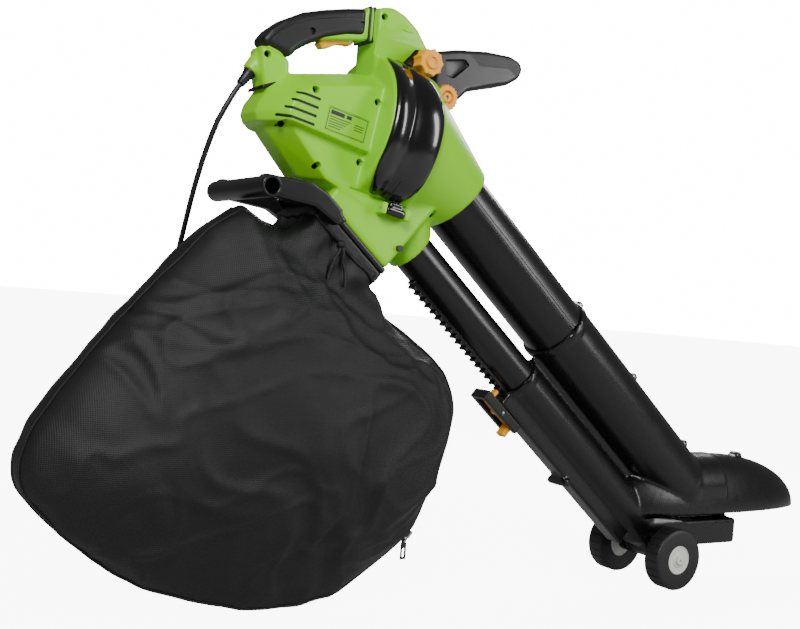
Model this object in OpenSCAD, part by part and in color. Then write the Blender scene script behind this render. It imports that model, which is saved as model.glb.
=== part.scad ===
// Electric leaf blower and vacuum with a collection bag.
// X runs forward, towards the nozzle, and Z runs up. The origin is on the floor under the middle.

/* [Motor housing] */
// Angle of the motor axis below level, in degrees
motor_tilt = 10; // [8:1:12]
// Outer width of the motor housing
motor_w = 124; // [118:1:150]
// Inner radius of the room that the impeller turns in
fan_room_r = 94; // [88:1:98]
// Radius of the impeller
impeller_r = 78; // [60:1:82]
// Thickness of the housing walls
wall = 3; // [2:0.5:4]
// Radius of the motor bay
motor_bay_r = 38; // [34:1:42]
// Radius of the narrow bay behind it, for the rear bearing
rear_bay_r = 22; // [18:1:24]
// Radius of the motor shaft
shaft_r = 5; // [4:0.5:6]

/* [Rear handle] */
// Width of the handle's inner core
core_w = 28; // [24:1:32]
// Thickness of the soft cover on the handle
grip_t = 4; // [3:0.5:5]
// Width of the pillar between the rear handle and the fan room
pillar_w = 56; // [50:1:64]

/* [Access cover] */
// Outer radius of the cover's raised band
cover_r = 104; // [102:1:110]
// Thickness of the cover
cover_t = 3; // [2:0.5:4]
// Radius of the cover's hinge pin
pin_r = 2.5; // [2:0.5:3]

/* [Front handle] */
// Width of the front handle
front_handle_w = 44; // [40:1:50]
// Radius of the front handle's pivot bolt
bolt_r = 4; // [3:0.5:5]

/* [Tubes] */
// Angle of the tubes below level, in degrees
tube_tilt = 40; // [38:1:42]
// Outer radius of the upper suction tube
suction_r = 47; // [44:1:50]
// Outer radius of the upper blower tube
blower_r = 28; // [24:1:30]
// Distance between the axes of the two tubes
tube_gap = 96; // [92:1:100]
// Wall of the tubes
tube_wall = 2.5; // [2:0.5:3]
// Free length of the upper tubes between the housing and the collar
free_len = 236; // [200:1:260]
// Length of the upper tubes inside the lower section
overlap = 60; // [50:1:80]
// Length of the lower section from its collar to its bend
lower_len = 364; // [340:1:420]
// Gap between an upper tube and the lower section that slides on it
slide_gap = 0.4; // [0.3:0.1:0.6]
// Distance between two teeth of the rack
rack_pitch = 12; // [10:1:16]

/* [Wheels] */
// Radius of a wheel
wheel_r = 46; // [40:1:52]
// Width of a wheel
wheel_w = 29; // [24:1:34]
// Distance between the outer faces of the two wheels
track = 152; // [150:1:170]
// Radius of the axle
axle_r = 4; // [3:0.5:5]

/* [Bag] */
// Greatest thickness of the bag
bag_w = 224; // [190:1:230]
// Thickness of the bag's wall
bag_t = 3; // [2:0.5:5]
// Outer radius of the hollow bar that carries the bag
bar_r = 13; // [11:0.5:15]
// Length of the bar
bar_len = 184; // [170:1:200]

/* [Hidden] */
$fn = 64;

green = "#9ddc10";
black = "#1c1c1e";
yellow = "#f7b400";
steel = "#b8bcc0";
big = 1000;
fit = 0.2;
gap = 0.4;
run_fit = 0.05;

// Centre of the impeller, and the point where the suction tube leaves the housing
fan_x = -205;
fan_z = 605;
mouth_x = -86;
mouth_z = 533;

// Distances along the motor axis, from the middle of the impeller
motor_back = -178;
bay_step = -140;
room_back = -44;
room_front = 16;
cover_back = -59;
cover_valley = -32;
cover_front = 12;

// Distances along the tubes, from the housing's mouth
collar_at = free_len;
corner_at = collar_at + lower_len;
upper_end = collar_at + overlap;
socket = 35;
lower_wall = 2.6;
suction_lower_r = suction_r + slide_gap + lower_wall;
blower_lower_r = blower_r + slide_gap + lower_wall;
blower_len = lower_len - 19;
channel_len = lower_len - 38;
hood_len = 282;
mouth_from = 66;
mouth_drop = 40;
jet_len = 184;
LUGS = [collar_at + 10, collar_at + 168, corner_at - 36];

// Where the two ducts turn level, and the axle under them
function along(s, d) = [
    mouth_x + s * cos(tube_tilt) - d * sin(tube_tilt), 0,
    mouth_z - s * sin(tube_tilt) - d * cos(tube_tilt)
];
suction_corner = along(corner_at, 0);
blower_corner = along(collar_at + blower_len, tube_gap);
axle_x = blower_corner[0] + 17;
axle_z = blower_corner[2] - blower_lower_r - 9;

// Bag frame, along the tubes and away from them
flange_from = -180;
flange_to = -48;
flange_at = 163;
bar_x = -408;
bar_z = 521;
frame_w = 100;

// Pivots
handle_x = -145;
handle_z = 671;
knob_x = -186;
knob_z = 707;
handle_boss_r = 20;
lug_w = 20;
screw_deep = 10;
capacitor_r = 6;
CAPACITOR = [-382, 0, 668];
stud_r = 3;
hinge_down = 97;
hinge_side = -61;
trigger_x = -281;
trigger_z = 722;
flap_s = -54;
flap_d = 131;
flap_len = 54;

// Path of the mains lead, from the strain relief to the plug
cord_r = 3.5;
CORD = [
    [-421, 0, 646.5], [-427, 0, 637], [-433, 0, 626], [-439, 2, 613], [-445, 5, 598],
    [-450, 11, 577], [-454, 20, 551],
    [-456, 31, 525], [-456, 44, 500], [-455, 58, 475], [-454, 72, 450], [-453, 85, 425],
    [-452, 97, 400], [-451, 108, 375], [-450, 116, 350], [-449, 122, 325], [-448, 126, 300],
    [-448, 129, 275], [-448, 131, 250], [-448, 132, 225], [-448, 132, 200]
];

// Puts children in the motor's frame: Z forward along the motor axis, X down
module motor_frame() {
    translate([fan_x, 0, fan_z]) rotate([0, 90 + motor_tilt, 0]) children();
}

// Puts children in the tubes' frame: Z down along the tubes, X away from the suction tube
module tube_frame() {
    translate([mouth_x, 0, mouth_z]) rotate([0, 90 + tube_tilt, 0]) children();
}

// A cylinder along Y about the middle plane
module crosswise(r, w, at = [0, 0, 0]) {
    translate(at) rotate([90, 0, 0]) cylinder(r = r, h = w, center = true);
}

// An outline in X and Z, as thick as w about the middle plane
module side_plate(points, w) {
    rotate([90, 0, 0]) linear_extrude(w, center = true) polygon(points);
}

module ring(outer, inner, h) {
    difference() {
        cylinder(r = outer, h = h);
        translate([0, 0, -1]) cylinder(r = inner, h = h + 2);
    }
}

// Keeps one side of the middle plane: side is -1 on the right and 1 on the left
module half(side) {
    intersection() {
        children();
        translate([-big, side > 0 ? 0 : -big, -big]) cube([2 * big, big, 2 * big]);
    }
}

// ---- Housing ----

// The motor's shell: tall and long in the middle, lower and shorter at its sides
module motor_outline() {
    hull() {
        side_plate([[-406, 602], [-410, 612], [-407, 624], [-396, 641], [-366, 665], [-286, 679],
            [-240, 684], [-228, 575], [-278, 578], [-398, 600]], 44);
        side_plate([[-384, 599], [-388, 612], [-380, 632], [-352, 651], [-286, 660], [-240, 664],
            [-228, 575], [-278, 578]], motor_w);
    }
}

module belly_outline() {
    hull() {
        side_plate([[-398, 604], [-391, 592], [-344, 543], [-230, 502], [-220, 600]], 30);
        side_plate([[-376, 604], [-369, 592], [-322, 540], [-230, 502], [-220, 600]], motor_w - 22);
    }
}

module handle_posts() {
    side_plate([[-403, 618], [-406, 640], [-407, 690], [-368, 688], [-365, 655], [-368, 618]],
        core_w + 12);
    side_plate([[-253, 660], [-253, 768], [-232, 774], [-212, 766], [-192, 752], [-172, 726],
        [-168, 690], [-176, 640], [-250, 640]], pillar_w);
    side_plate([[-330, 706], [-252, 722], [-252, 736], [-322, 724]], core_w);
}

module handle_core(grow = 0) {
    side_plate([
        [-399 - grow, 686], [-394 - grow, 698 + grow / 2], [-376, 722 + grow], [-351, 739 + grow],
        [-295, 755 + grow], [-252, 763 + grow], [-252, 732 - grow], [-320, 718 - grow],
        [-353, 703 - grow], [-372 + grow, 690 - grow / 2], [-372 + grow, 686]
    ], core_w + 2 * grow);
}

module front_lobes() {
    hull() {
        motor_frame() translate([0, 0, room_front - 1]) cylinder(r = 92, h = 3, $fn = 32);
        tube_frame() translate([0, 0, -30]) cylinder(r = suction_r + 8, h = 12, $fn = 32);
    }
    hull() {
        motor_frame() translate([30, 0, room_front - 1]) cylinder(r = 62, h = 3, $fn = 32);
        tube_frame() translate([tube_gap, 0, -30]) cylinder(r = blower_r + 6, h = 12, $fn = 32);
    }
}

module duct_outline() {
    tube_frame() translate([40, -frame_w / 2, flange_from + 12])
        cube([flange_at - 40, frame_w, flange_to - flange_from - 12]);
}

module housing_outer() {
    motor_outline();
    belly_outline();
    handle_posts();
    handle_core();
    front_lobes();
    duct_outline();
    motor_frame() translate([0, 0, room_back - 21])
        cylinder(r = fan_room_r + wall, h = room_front - room_back + 22);
    gland_socket();
}

module gland_socket() {
    gland_frame() cylinder(r = 12, h = 22);
}

// Room for the front handle's fork, knob and bolt, and the lug that stays inside it
module fork_room() {
    crosswise(handle_boss_r + 1.5, 84, [handle_x, 0, handle_z]);
}

module handle_lug() {
    difference() {
        union() {
            crosswise(handle_boss_r - 2, lug_w, [handle_x, 0, handle_z]);
            side_plate([[-190, 660], [-190, 712], [handle_x, handle_z + 18], [handle_x, handle_z - 18]],
                lug_w);
        }
        crosswise(bolt_r + fit, 60, [handle_x, 0, handle_z]);
        motor_frame() cylinder(r = fan_room_r, h = 60, center = true);
    }
}

module housing_rooms() {
    motor_frame() {
        translate([0, 0, motor_back]) cylinder(r = rear_bay_r, h = bay_step - motor_back + 1);
        translate([0, 0, bay_step]) cylinder(r = motor_bay_r, h = room_back - bay_step + 1);
        translate([0, 0, room_back]) cylinder(r = fan_room_r, h = room_front - room_back);
    }
    crosswise(capacitor_r + fit, 2 * fit + 24, CAPACITOR);
    hull() {
        motor_frame() translate([0, 0, room_front - 1]) cylinder(r = 62, h = 2, $fn = 32);
        tube_frame() translate([0, 0, -socket - 1]) cylinder(r = suction_r - tube_wall, h = 2, $fn = 32);
    }
    tube_frame() {
        translate([0, 0, -socket]) cylinder(r = suction_r + fit, h = socket + 40);
        translate([tube_gap, 0, -socket]) cylinder(r = blower_r + fit, h = socket + 40);
        translate([tube_gap, 0, flap_s - 4]) cylinder(r = blower_r - tube_wall, h = 40);
        translate([56, -frame_w / 2 + 7, flap_s - flap_len - 2])
            cube([flap_d - 50, frame_w - 14, flap_len + 4]);
        translate([flap_d + 5, -frame_w / 2 + 7, flange_from + 19])
            cube([big, frame_w - 14, flange_to - flange_from - 26]);
    }
}

// The window in the right side that the access cover closes
module cover_window() {
    motor_frame() rotate([0, 0, -149]) rotate_extrude(angle = 111)
        polygon([[fan_room_r - 8, room_back + 1], [big, room_back - 5], [big, cover_front - 3],
            [fan_room_r - 8, cover_front - 3]]);
}

// Room for the cover's knob, in the housing and in the cover
module knob_room() {
    translate([knob_x, -34.7, knob_z]) rotate([90, 0, 0]) cylinder(r = 20, h = 60);
}

// The band around the fan room that the cover lies in
module cover_recess() {
    motor_frame() rotate([0, 0, -168]) rotate_extrude(angle = 138)
        polygon([[fan_room_r + wall, cover_back - 12], [big, cover_back - 12], [big, cover_front + 2],
            [fan_room_r + wall, cover_front + 2]]);
}

module vents() {
    motor_frame() for (row = [0:3], side = [-1, 1])
        translate([row * 10.5 - 4, side > 0 ? 10 : -10 - big, -186 - 5 * row])
            cube([3, big, 48 + 5 * row]);
}

// Screw places on the housing, in X and Z, with the depth of the wall there
SCREWS = [[-398, 683, 20], [-376, 603, 60], [-336, 556, 48], [-271, 564, 51], [-352, 643, 60],
    [-257, 640, 62], [-245, 757, 28], [-158, 517, 40]];

module housing(side) {
    color(green) difference() {
        half(side) housing_outer();
        housing_rooms();
        if (side < 0) {
            cover_window();
            cover_recess();
            knob_room();
        }
        vents();
        trigger_slot();
        flap_bore();
        fork_room();
        cover_stud_hole();
        hinge_slot();
        gland_frame() translate([0, 0, -2]) cylinder(r = 8 + fit, h = 40);
        for (s = SCREWS) crosswise(2.2, 200, [s[0], 0, s[1]]);
        for (s = SCREWS) translate([s[0], side * (s[2] + big / 2 - screw_deep), s[1]])
            rotate([90, 0, 0]) cylinder(r = 4.5, h = big, center = true);
        rating_pocket();
    }
    color(green) half(side) handle_lug();
}

module trigger_slot() {
    side_plate([[-329, 700], [-327, 724], [-322, 736], [-268, 743], [-266, 716], [-290, 705]], 15);
}

module flap_bore() {
    tube_frame() translate([flap_d, 0, flap_s]) rotate([90, 0, 0])
        cylinder(r = bolt_r + run_fit, h = 200, center = true);
}

module cover_stud_hole() {
    translate([knob_x, -18, knob_z]) rotate([90, 0, 0]) cylinder(r = stud_r + 2, h = 60);
}

module hinge_slot() {
    motor_frame() translate([hinge_down, hinge_side, -20.5]) cylinder(r = 9, h = 27);
}

module hinge_ears() {
    difference() {
        motor_frame() for (at = [-28, 7])
            translate([hinge_down - 8, hinge_side - 5, at]) cube([14, 24, 7]);
        motor_frame() cylinder(r = fan_room_r, h = 100, center = true);
        motor_frame() translate([hinge_down, hinge_side, -40]) cylinder(r = pin_r, h = 80);
    }
}

module rating_pocket() {
    motor_frame() translate([-0.5, -motor_w / 2 - 1, -129.5]) cube([30, 1.6, 58]);
}

module housing_right() {
    housing(-1);
    color(green) hinge_ears();
}

module housing_left() {
    housing(1);
}

module housing_screws() {
    color(steel) for (s = SCREWS) translate([s[0], 0, s[1]]) rotate([90, 0, 0])
        translate([0, 0, s[2] - screw_deep + 0.1]) cylinder(r = 3.8, h = 3);
}

module rating_plate() {
    color("#c8ee6a") motor_frame() translate([0, -motor_w / 2 + 0.1, -129]) cube([29, 0.5, 57]);
}

// ---- Rear handle ----

module grip_cover() {
    color(black) difference() {
        handle_core(grip_t);
        handle_core(0.1);
        translate([-500, -50, 600]) cube([240, 100, 91]);
        translate([-263, -50, 600]) cube([100, 100, 300]);
        side_plate([[-336, 680], [-336, 712], [-322, 724], [-262, 737], [-240, 737], [-240, 680]], 60);
    }
}

module grip_rings() {
    color(black) {
        difference() {
            side_plate([[-409, 641], [-362, 660.5], [-362, 664.5], [-409, 645]], core_w + 16);
            handle_posts();
            motor_outline();
        }
        difference() {
            side_plate([[-262, 731], [-262, 768], [-257, 769], [-257, 732]], core_w + 12);
            handle_core(0.1);
        }
    }
}

module trigger() {
    color(yellow) difference() {
        union() {
            side_plate([[-276, 727], [-286, 728], [-318, 721], [-325, 712], [-319, 706], [-309, 709],
                [-296, 716], [-280, 718]], 14);
            crosswise(5, 14, [trigger_x, 0, trigger_z]);
        }
        crosswise(2 + run_fit, 40, [trigger_x, 0, trigger_z]);
    }
}

module trigger_pin() {
    color(steel) crosswise(2, 14.8, [trigger_x, 0, trigger_z]);
}

module trigger_spring() {
    color(steel) translate([-310, 0, 727]) for (turn = [0:1])
        translate([0, 0, turn * 2.4]) rotate_extrude() translate([3.5, 0]) circle(r = 0.6, $fn = 16);
}

module switch_body() {
    color("#303034") translate([-300, -6.5, 730]) cube([22, 13, 7.5]);
}

module capacitor() {
    color("#d9b23c") crosswise(capacitor_r, 24, CAPACITOR);
}

// ---- Mains lead ----

module gland_frame() {
    translate([-398.4, 0, 679]) rotate([0, -145, 0]) children();
}

module strain_relief() {
    color(black) gland_frame() {
        translate([0, 0, 6]) cylinder(r = 8, h = 18);
        translate([0, 0, 24]) cylinder(r1 = 7.5, r2 = cord_r + 1.2, h = 18.4);
        for (at = [27:4:39]) translate([0, 0, at]) cylinder(r = 8.5 - at / 14, h = 1.6);
    }
}

function unit(v) = v / norm(v);
function heading(path, i) = unit(path[min(i + 1, len(path) - 1)] - path[max(i - 1, 0)]);
function ring_points(path, i, r, n) =
    let (t = heading(path, i), u = unit(cross(t, [0, 1, 0.2])), v = cross(t, u))
    [for (k = [0:n - 1]) path[i] + r * (cos(360 * k / n) * u + sin(360 * k / n) * v)];
function tube_sides(rings, n) = [for (i = [0:rings - 2], k = [0:n - 1])
    [i * n + k, i * n + (k + 1) % n, (i + 1) * n + (k + 1) % n, (i + 1) * n + k]];

module swept_tube(path, r, n = 10) {
    last = (len(path) - 1) * n;
    polyhedron(
        points = [for (i = [0:len(path) - 1]) each ring_points(path, i, r, n)],
        faces = concat([[for (k = [n - 1:-1:0]) k]], tube_sides(len(path), n),
            [[for (k = [0:n - 1]) last + k]])
    );
}

module cord() {
    color(black) swept_tube(CORD, cord_r);
}

module plug() {
    color(black) translate(CORD[len(CORD) - 1]) {
        translate([0, 0, -16]) cylinder(r1 = 9, r2 = cord_r + 1, h = 16);
        translate([0, 0, -44]) cylinder(r = 17, h = 28);
    }
    color(steel) translate(CORD[len(CORD) - 1]) for (side = [-1, 1])
        translate([side * 9.5, 0, -63]) cylinder(r = 2.4, h = 20);
}

// ---- Motor ----

module stator() {
    color("#8f9499") motor_frame() translate([0, 0, -122]) ring(motor_bay_r - 2, 22, 36);
    color("#b8643a") motor_frame() for (at = [-126, -86])
        translate([0, 0, at]) ring(33, 24, at == -126 ? 4 : 6);
}

module armature() {
    color("#9a9fa4") motor_frame() translate([0, 0, -120]) ring(21, shaft_r, 36);
    color("#b8643a") motor_frame() translate([0, 0, -142]) ring(14, shaft_r, 22);
}

module motor_shaft() {
    color(steel) motor_frame() translate([0, 0, motor_back + 1]) cylinder(r = shaft_r, h = 21 - motor_back);
}

module motor_bearing(at) {
    color(steel) motor_frame() translate([0, 0, at]) ring(13, shaft_r + run_fit, 10);
}

module front_bearing() {
    motor_bearing(-60);
}

module rear_bearing() {
    motor_bearing(motor_back + 2);
}

module front_bracket() {
    color("#a8adb2") motor_frame() translate([0, 0, -60]) difference() {
        ring(motor_bay_r - fit, 13, 10);
        for (k = [0:5]) rotate([0, 0, k * 60]) translate([25, 0, -1]) cylinder(r = 7, h = 12);
    }
}

module rear_bracket() {
    color("#a8adb2") motor_frame() translate([0, 0, motor_back + 2]) ring(rear_bay_r - fit, 13, 10);
}

module brush_holders() {
    color("#c9a24a") motor_frame() for (side = [-1, 1])
        translate([-5, side > 0 ? 15 : -34, -138]) cube([10, 19, 10]);
}

module cooling_fan() {
    color("#3a3a3d") motor_frame() translate([0, 0, -73.5]) difference() {
        union() {
            cylinder(r = 12, h = 12);
            cylinder(r = 32, h = 2);
            for (k = [0:8]) rotate([0, 0, k * 40]) translate([10, -1, 0]) cube([22, 2, 12]);
        }
        translate([0, 0, -1]) cylinder(r = shaft_r, h = 14);
    }
}

module impeller() {
    color("#2c2c2f") motor_frame() difference() {
        union() {
            translate([0, 0, -36]) cylinder(r = impeller_r, h = 3);
            translate([0, 0, -36]) cylinder(r = 16, h = 44);
            for (k = [0:7]) rotate([0, 0, k * 45]) translate([12, -1.5, -35])
                cube([impeller_r - 14, 3, 42]);
        }
        translate([0, 0, -40]) cylinder(r = shaft_r, h = 60);
    }
}

module impeller_nut() {
    color(steel) motor_frame() translate([0, 0, 8]) difference() {
        cylinder(r = 10, h = 7, $fn = 6);
        translate([0, 0, -1]) cylinder(r = shaft_r, h = 9);
    }
}

// ---- Access cover ----

module cover_band() {
    inner = fan_room_r + wall + gap;
    rotate([0, 0, -152]) rotate_extrude(angle = 118) polygon([
        [inner, cover_back], [inner + cover_t, cover_back], [inner + cover_t + 1.5, cover_back + 13],
        [inner + cover_t, cover_valley], [cover_r, cover_valley + 14], [cover_r + 1, cover_front - 10],
        [cover_r - 1, cover_front], [inner, cover_front]
    ]);
    rotate([0, 0, -165]) translate([0, 0, cover_valley]) rotate_extrude(angle = 14)
        translate([inner, 0]) square([cover_t, 24]);
}

module access_cover() {
    color(black) difference() {
        union() {
            motor_frame() {
                cover_band();
                translate([hinge_down, hinge_side, -20]) cylinder(r = 6, h = 26);
                translate([hinge_down - 16, hinge_side - 6, -20]) cube([16, 14, 26]);
            }
            side_plate_at([[-224, 688], [-198, 722], [-176, 722], [-168, 702], [-190, 684]], -30.5, 4);
        }
        motor_frame() cylinder(r = fan_room_r + wall + gap, h = 200, center = true);
        motor_frame() translate([hinge_down, hinge_side, -60]) cylinder(r = pin_r + run_fit, h = 120);
        translate([knob_x, 0, knob_z]) rotate([90, 0, 0]) cylinder(r = stud_r + run_fit, h = 60);
        knob_room();
    }
}

// An outline in X and Z whose face lies at y, with its thickness away from the middle
module side_plate_at(points, y, t) {
    translate([0, y, 0]) rotate([90, 0, 0]) linear_extrude(t) polygon(points);
}

module cover_hinge_pin() {
    color(steel) motor_frame() translate([hinge_down, hinge_side, -28]) cylinder(r = pin_r, h = 42);
}

module cover_knob() {
    color(yellow) translate([knob_x, -35, knob_z]) rotate([90, 0, 0]) difference() {
        union() {
            cylinder(r = 15, h = 22);
            for (k = [0:7]) rotate([0, 0, k * 45]) translate([14, 0, 0]) cylinder(r = 4.5, h = 20, $fn = 24);
            cylinder(r = 9, h = 24);
        }
        translate([0, 0, -1]) cylinder(r = stud_r, h = 15);
    }
}

module cover_stud() {
    color(steel) translate([knob_x, -22, knob_z]) rotate([90, 0, 0]) cylinder(r = stud_r, h = 27);
}

// ---- Front handle ----

module handle_outline() {
    side_plate([[-158, 731], [-125, 739], [-75, 746], [-35, 747], [-18, 742], [-13, 733], [-19, 720],
        [-38, 708], [-70, 699], [-103, 687], [-124, 668], [-163, 680]], front_handle_w);
    crosswise(handle_boss_r, front_handle_w, [handle_x, 0, handle_z]);
}

module front_handle() {
    color(black) difference() {
        handle_outline();
        crosswise(bolt_r + run_fit, 100, [handle_x, 0, handle_z]);
        crosswise(handle_boss_r + 6, lug_w + 2 * gap, [handle_x, 0, handle_z]);
        side_plate([[-175, 660], [-175, 740], [-150, 722], [-120, 690], [-125, 660]], lug_w + 2 * gap);
        for (side = [-1, 1]) translate([0, side * front_handle_w / 2, 0])
            side_plate([[-142, 725], [-116, 729], [-132, 704]], 16);
        grip_zone(0);
    }
}

// Where the soft grip lies on the front handle
module grip_zone(clear) {
    difference() {
        side_plate([[-160, 760], [0, 760], [0, 700], [-38 + clear, 729 - clear], [-88, 722 - clear],
            [-104, 738 - clear], [-160, 728]], 200);
        side_plate([[-170, 725], [-125, 733], [-75, 740], [-38, 740], [-26, 733], [-60, 728],
            [-150, 718]], front_handle_w - 8);
    }
}

module front_handle_grip() {
    color("#262628") intersection() {
        handle_outline();
        grip_zone(-0.1);
    }
}

module handle_knob() {
    color(yellow) translate([handle_x, -front_handle_w / 2 - 1, handle_z]) rotate([90, 0, 0]) difference() {
        union() {
            cylinder(r = 15, h = 13);
            for (k = [0:19]) rotate([0, 0, k * 18]) translate([13, -1.3, 0]) cube([4, 2.6, 13]);
        }
        translate([0, 0, -1]) cylinder(r = bolt_r + run_fit, h = 11);
        translate([0, 0, 9]) cylinder(r = 6, h = 5);
    }
}

module handle_bolt() {
    color(steel) translate([handle_x, front_handle_w / 2 + 1, handle_z]) rotate([90, 0, 0]) {
        cylinder(r = bolt_r, h = front_handle_w + 11);
        translate([0, 0, -5]) cylinder(r = 8, h = 5, $fn = 6);
    }
}

// ---- Air flap ----

module air_flap() {
    color("#3a3a3d") tube_frame() difference() {
        union() {
            translate([flap_d, 0, flap_s]) rotate([90, 0, 0])
                cylinder(r = bolt_r, h = frame_w + 10, center = true);
            translate([flap_d - flap_len, -frame_w / 2 + 8, flap_s - 1.5])
                cube([flap_len, frame_w - 16, 3]);
        }
        translate([flap_d, frame_w / 2 + 2.5, flap_s - 1]) cube([20, 20, 20]);
    }
}

module selector_lever() {
    color(black) tube_frame() translate([flap_d, frame_w / 2 + 1, flap_s]) rotate([-90, 0, 0]) difference() {
        union() {
            cylinder(r = 11, h = 9);
            translate([-34, -5, 3]) cube([30, 10, 6]);
        }
        translate([0, 0, -1]) cylinder(r = bolt_r, h = 7);
    }
}

// ---- Bag and its frame ----

module frame_arms() {
    for (side = [-1, 1]) translate([0, side * 62, 0])
        side_plate([[-418, 515], [-412, 536], [-350, 533], [-322, 520], [-300, 492], [-312, 486],
            [-345, 505], [-400, 511]], 16);
}

module bag_frame() {
    color(black) difference() {
        union() {
            tube_frame() translate([flange_at + gap, -frame_w / 2 - 2, flange_from])
                cube([8, frame_w + 4, flange_to - flange_from]);
            tube_frame() translate([flange_at + gap, -70, flange_from])
                cube([8, 140, 30]);
            difference() {
                frame_arms();
                duct_outline();
                belly_outline();
                tube_frame() translate([flange_at - 50, -80, flange_from - 20])
                    cube([50 + 3 * gap, 160, 160]);
            }
            crosswise(bar_r, bar_len - 20, [bar_x, 0, bar_z]);
        }
        crosswise(bar_r - 4, bar_len, [bar_x, 0, bar_z]);
        tube_frame() translate([flange_at - 10, -frame_w / 2 + 7, flange_from + 19])
            cube([30, frame_w - 14, flange_to - flange_from - 26]);
    }
}

module neck_ring(from, h, out, in) {
    tube_frame() translate([from, 0, 0]) difference() {
        translate([0, -frame_w / 2 - out, flange_from + 12 - out])
            cube([h, frame_w + 2 * out, flange_to - flange_from - 12 + 2 * out]);
        translate([-1, -frame_w / 2 - in, flange_from + 12 - in])
            cube([h + 2, frame_w + 2 * in, flange_to - flange_from - 12 + 2 * in]);
    }
}

module bag_collar() {
    color(black) neck_ring(flange_at + gap + 8, 16, 0, -4);
}

// Outline of the bag: X, Z, edge radius and half thickness there
BAG = [
    [-407, 492, 12, 14], [-452, 452, 14, 34], [-525, 368, 15, 44], [-600, 272, 16, 44],
    [-638, 195, 18, 36], [-635, 165, 18, 36], [-588, 118, 18, 42], [-528, 80, 20, 55],
    [-435, 40, 22, 70], [-370, 24, 24, 84], [-270, 24, 24, 84], [-232, 34, 20, 70],
    [-152, 98, 18, 50], [-108, 156, 18, 44], [-88, 220, 16, 40], [-80, 258, 16, 40],
    [-100, 300, 14, 40], [-190, 368, 16, 46], [-235, 398, 16, 52],
    [-390, 260, 96, 112], [-262, 232, 86, 112]
];

module bag_body(less) {
    hull() for (p = BAG)
        crosswise(p[2] - less, (2 * p[3] - 2 * less) * bag_w / 224, [p[0], 0, p[1]]);
}

module bag_neck(less) {
    hull() {
        tube_frame() translate([flange_at + gap + 24 - less, -frame_w / 2 + 4 + less, flange_from + 16 + less])
            cube([1, frame_w - 8 - 2 * less, flange_to - flange_from - 20 - 2 * less]);
        crosswise(30 - less, 110 - 2 * less, [-352, 0, 430]);
        crosswise(30 - less, 110 - 2 * less, [-262, 0, 380]);
    }
}

module bag() {
    color("#232326") difference() {
        union() {
            bag_body(0);
            bag_neck(0);
        }
        bag_body(bag_t);
        bag_neck(bag_t);
    }
}

module draw_cord() {
    color("#101012") neck_ring(flange_at + gap + 12, 5, 3, 0.2);
}

// Puts children on the bag's edge at the foot of the zip: Z outward, X down along the edge
module zip_frame() {
    translate([-152, 0, 98]) rotate([0, 127.2, 0]) children();
}

module zip_tape() {
    color("#101012") side_plate([[-135, 85], [-91, 143], [-87.5, 149.6], [-69.4, 214.2],
        [-72.2, 215.2], [-90.2, 150.6], [-93.2, 144.9], [-137.2, 86.8]], 22);
}

module zip_slider() {
    color("#2a2a2c") zip_frame() {
        translate([-13, -4.5, 21.9]) cube([10, 9, 4]);
        for (side = [-1, 1]) translate([-4, side * 2.6 - 0.6, 22.4]) cube([9, 1.2, 3]);
        translate([3, 0, 24]) rotate([90, 0, 0]) cylinder(r = 1, h = 6.4, center = true);
    }
}

module zip_pull() {
    color("#2a2a2c") translate([-152 + 17.3, 0, 98 - 16.9]) rotate([90, 0, 0]) difference() {
        union() {
            cylinder(r = 3.2, h = 3, center = true);
            translate([-4, -25, -1.5]) cube([8, 22.5, 3]);
        }
        cylinder(r = 1 + run_fit, h = 10, center = true);
        translate([-2, -22, -5]) cube([4, 12, 10]);
    }
}

// ---- Tubes ----

module suction_tube() {
    color(black) tube_frame() difference() {
        translate([0, 0, 1 - socket]) cylinder(r = suction_r, h = upper_end + socket - 1);
        translate([0, 0, -socket - 1]) cylinder(r = suction_r - tube_wall, h = upper_end + socket + 4);
        for (side = [-1, 1], at = [-2.5, 2.5]) translate([at - 0.6, side * suction_r - 0.6, 2])
            cube([1.2, 1.2, upper_end]);
    }
}

module blower_tube() {
    color(black) tube_frame() translate([tube_gap, 0, 0]) difference() {
        union() {
            translate([0, 0, 1 - socket]) cylinder(r = blower_r, h = upper_end + socket - 1);
            translate([blower_r - 4, -8, 14]) cube([8, 16, upper_end - 14]);
            for (at = [18:rack_pitch:upper_end - 4]) translate([blower_r + 3, -7, at])
                cube([5, 14, 3]);
        }
        translate([0, 0, -socket - 1]) cylinder(r = blower_r - tube_wall, h = upper_end + socket + 4);
    }
}

module screw_lug(s) {
    tube_frame() translate([-suction_lower_r - 3, 0, s]) rotate([90, 0, 0])
        cylinder(r = 7, h = 18, center = true);
}

// The hooded end of the suction duct: a round tube cut to a rounded bill from the side and above
module hood(less) {
    tip = hood_len - less;
    translate(suction_corner) intersection() {
        rotate([0, 90, 0]) cylinder(r = suction_lower_r - less, h = hood_len + 10);
        side_plate([[0, 60], [110, 60 - less], [110, 49.5 - less], [160, 44 - less], [212, 29 - less],
            [252, 6 - less], [tip, -28], [tip, -60 - 20 * less], [0, -60 - 20 * less]], 200);
        translate([0, 0, -big / 2]) linear_extrude(big) polygon([
            [0, -60], [90, 0.5 * less - 60], [170, less - 45], [226, less - 33], [264, less - 17],
            [tip, -5], [tip, 5], [264, 17 - less], [226, 33 - less], [170, 45 - less],
            [90, 60 - 0.5 * less], [0, 60]
        ]);
    }
}

// The two ducts of the lower section, smaller all round by less
module suction_duct(less) {
    r = suction_lower_r - less;
    tube_frame() translate([0, 0, collar_at - less]) cylinder(r = r, h = lower_len + less);
    translate(suction_corner) sphere(r = r + 2 - less / 3);
    hood(less);
}

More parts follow.
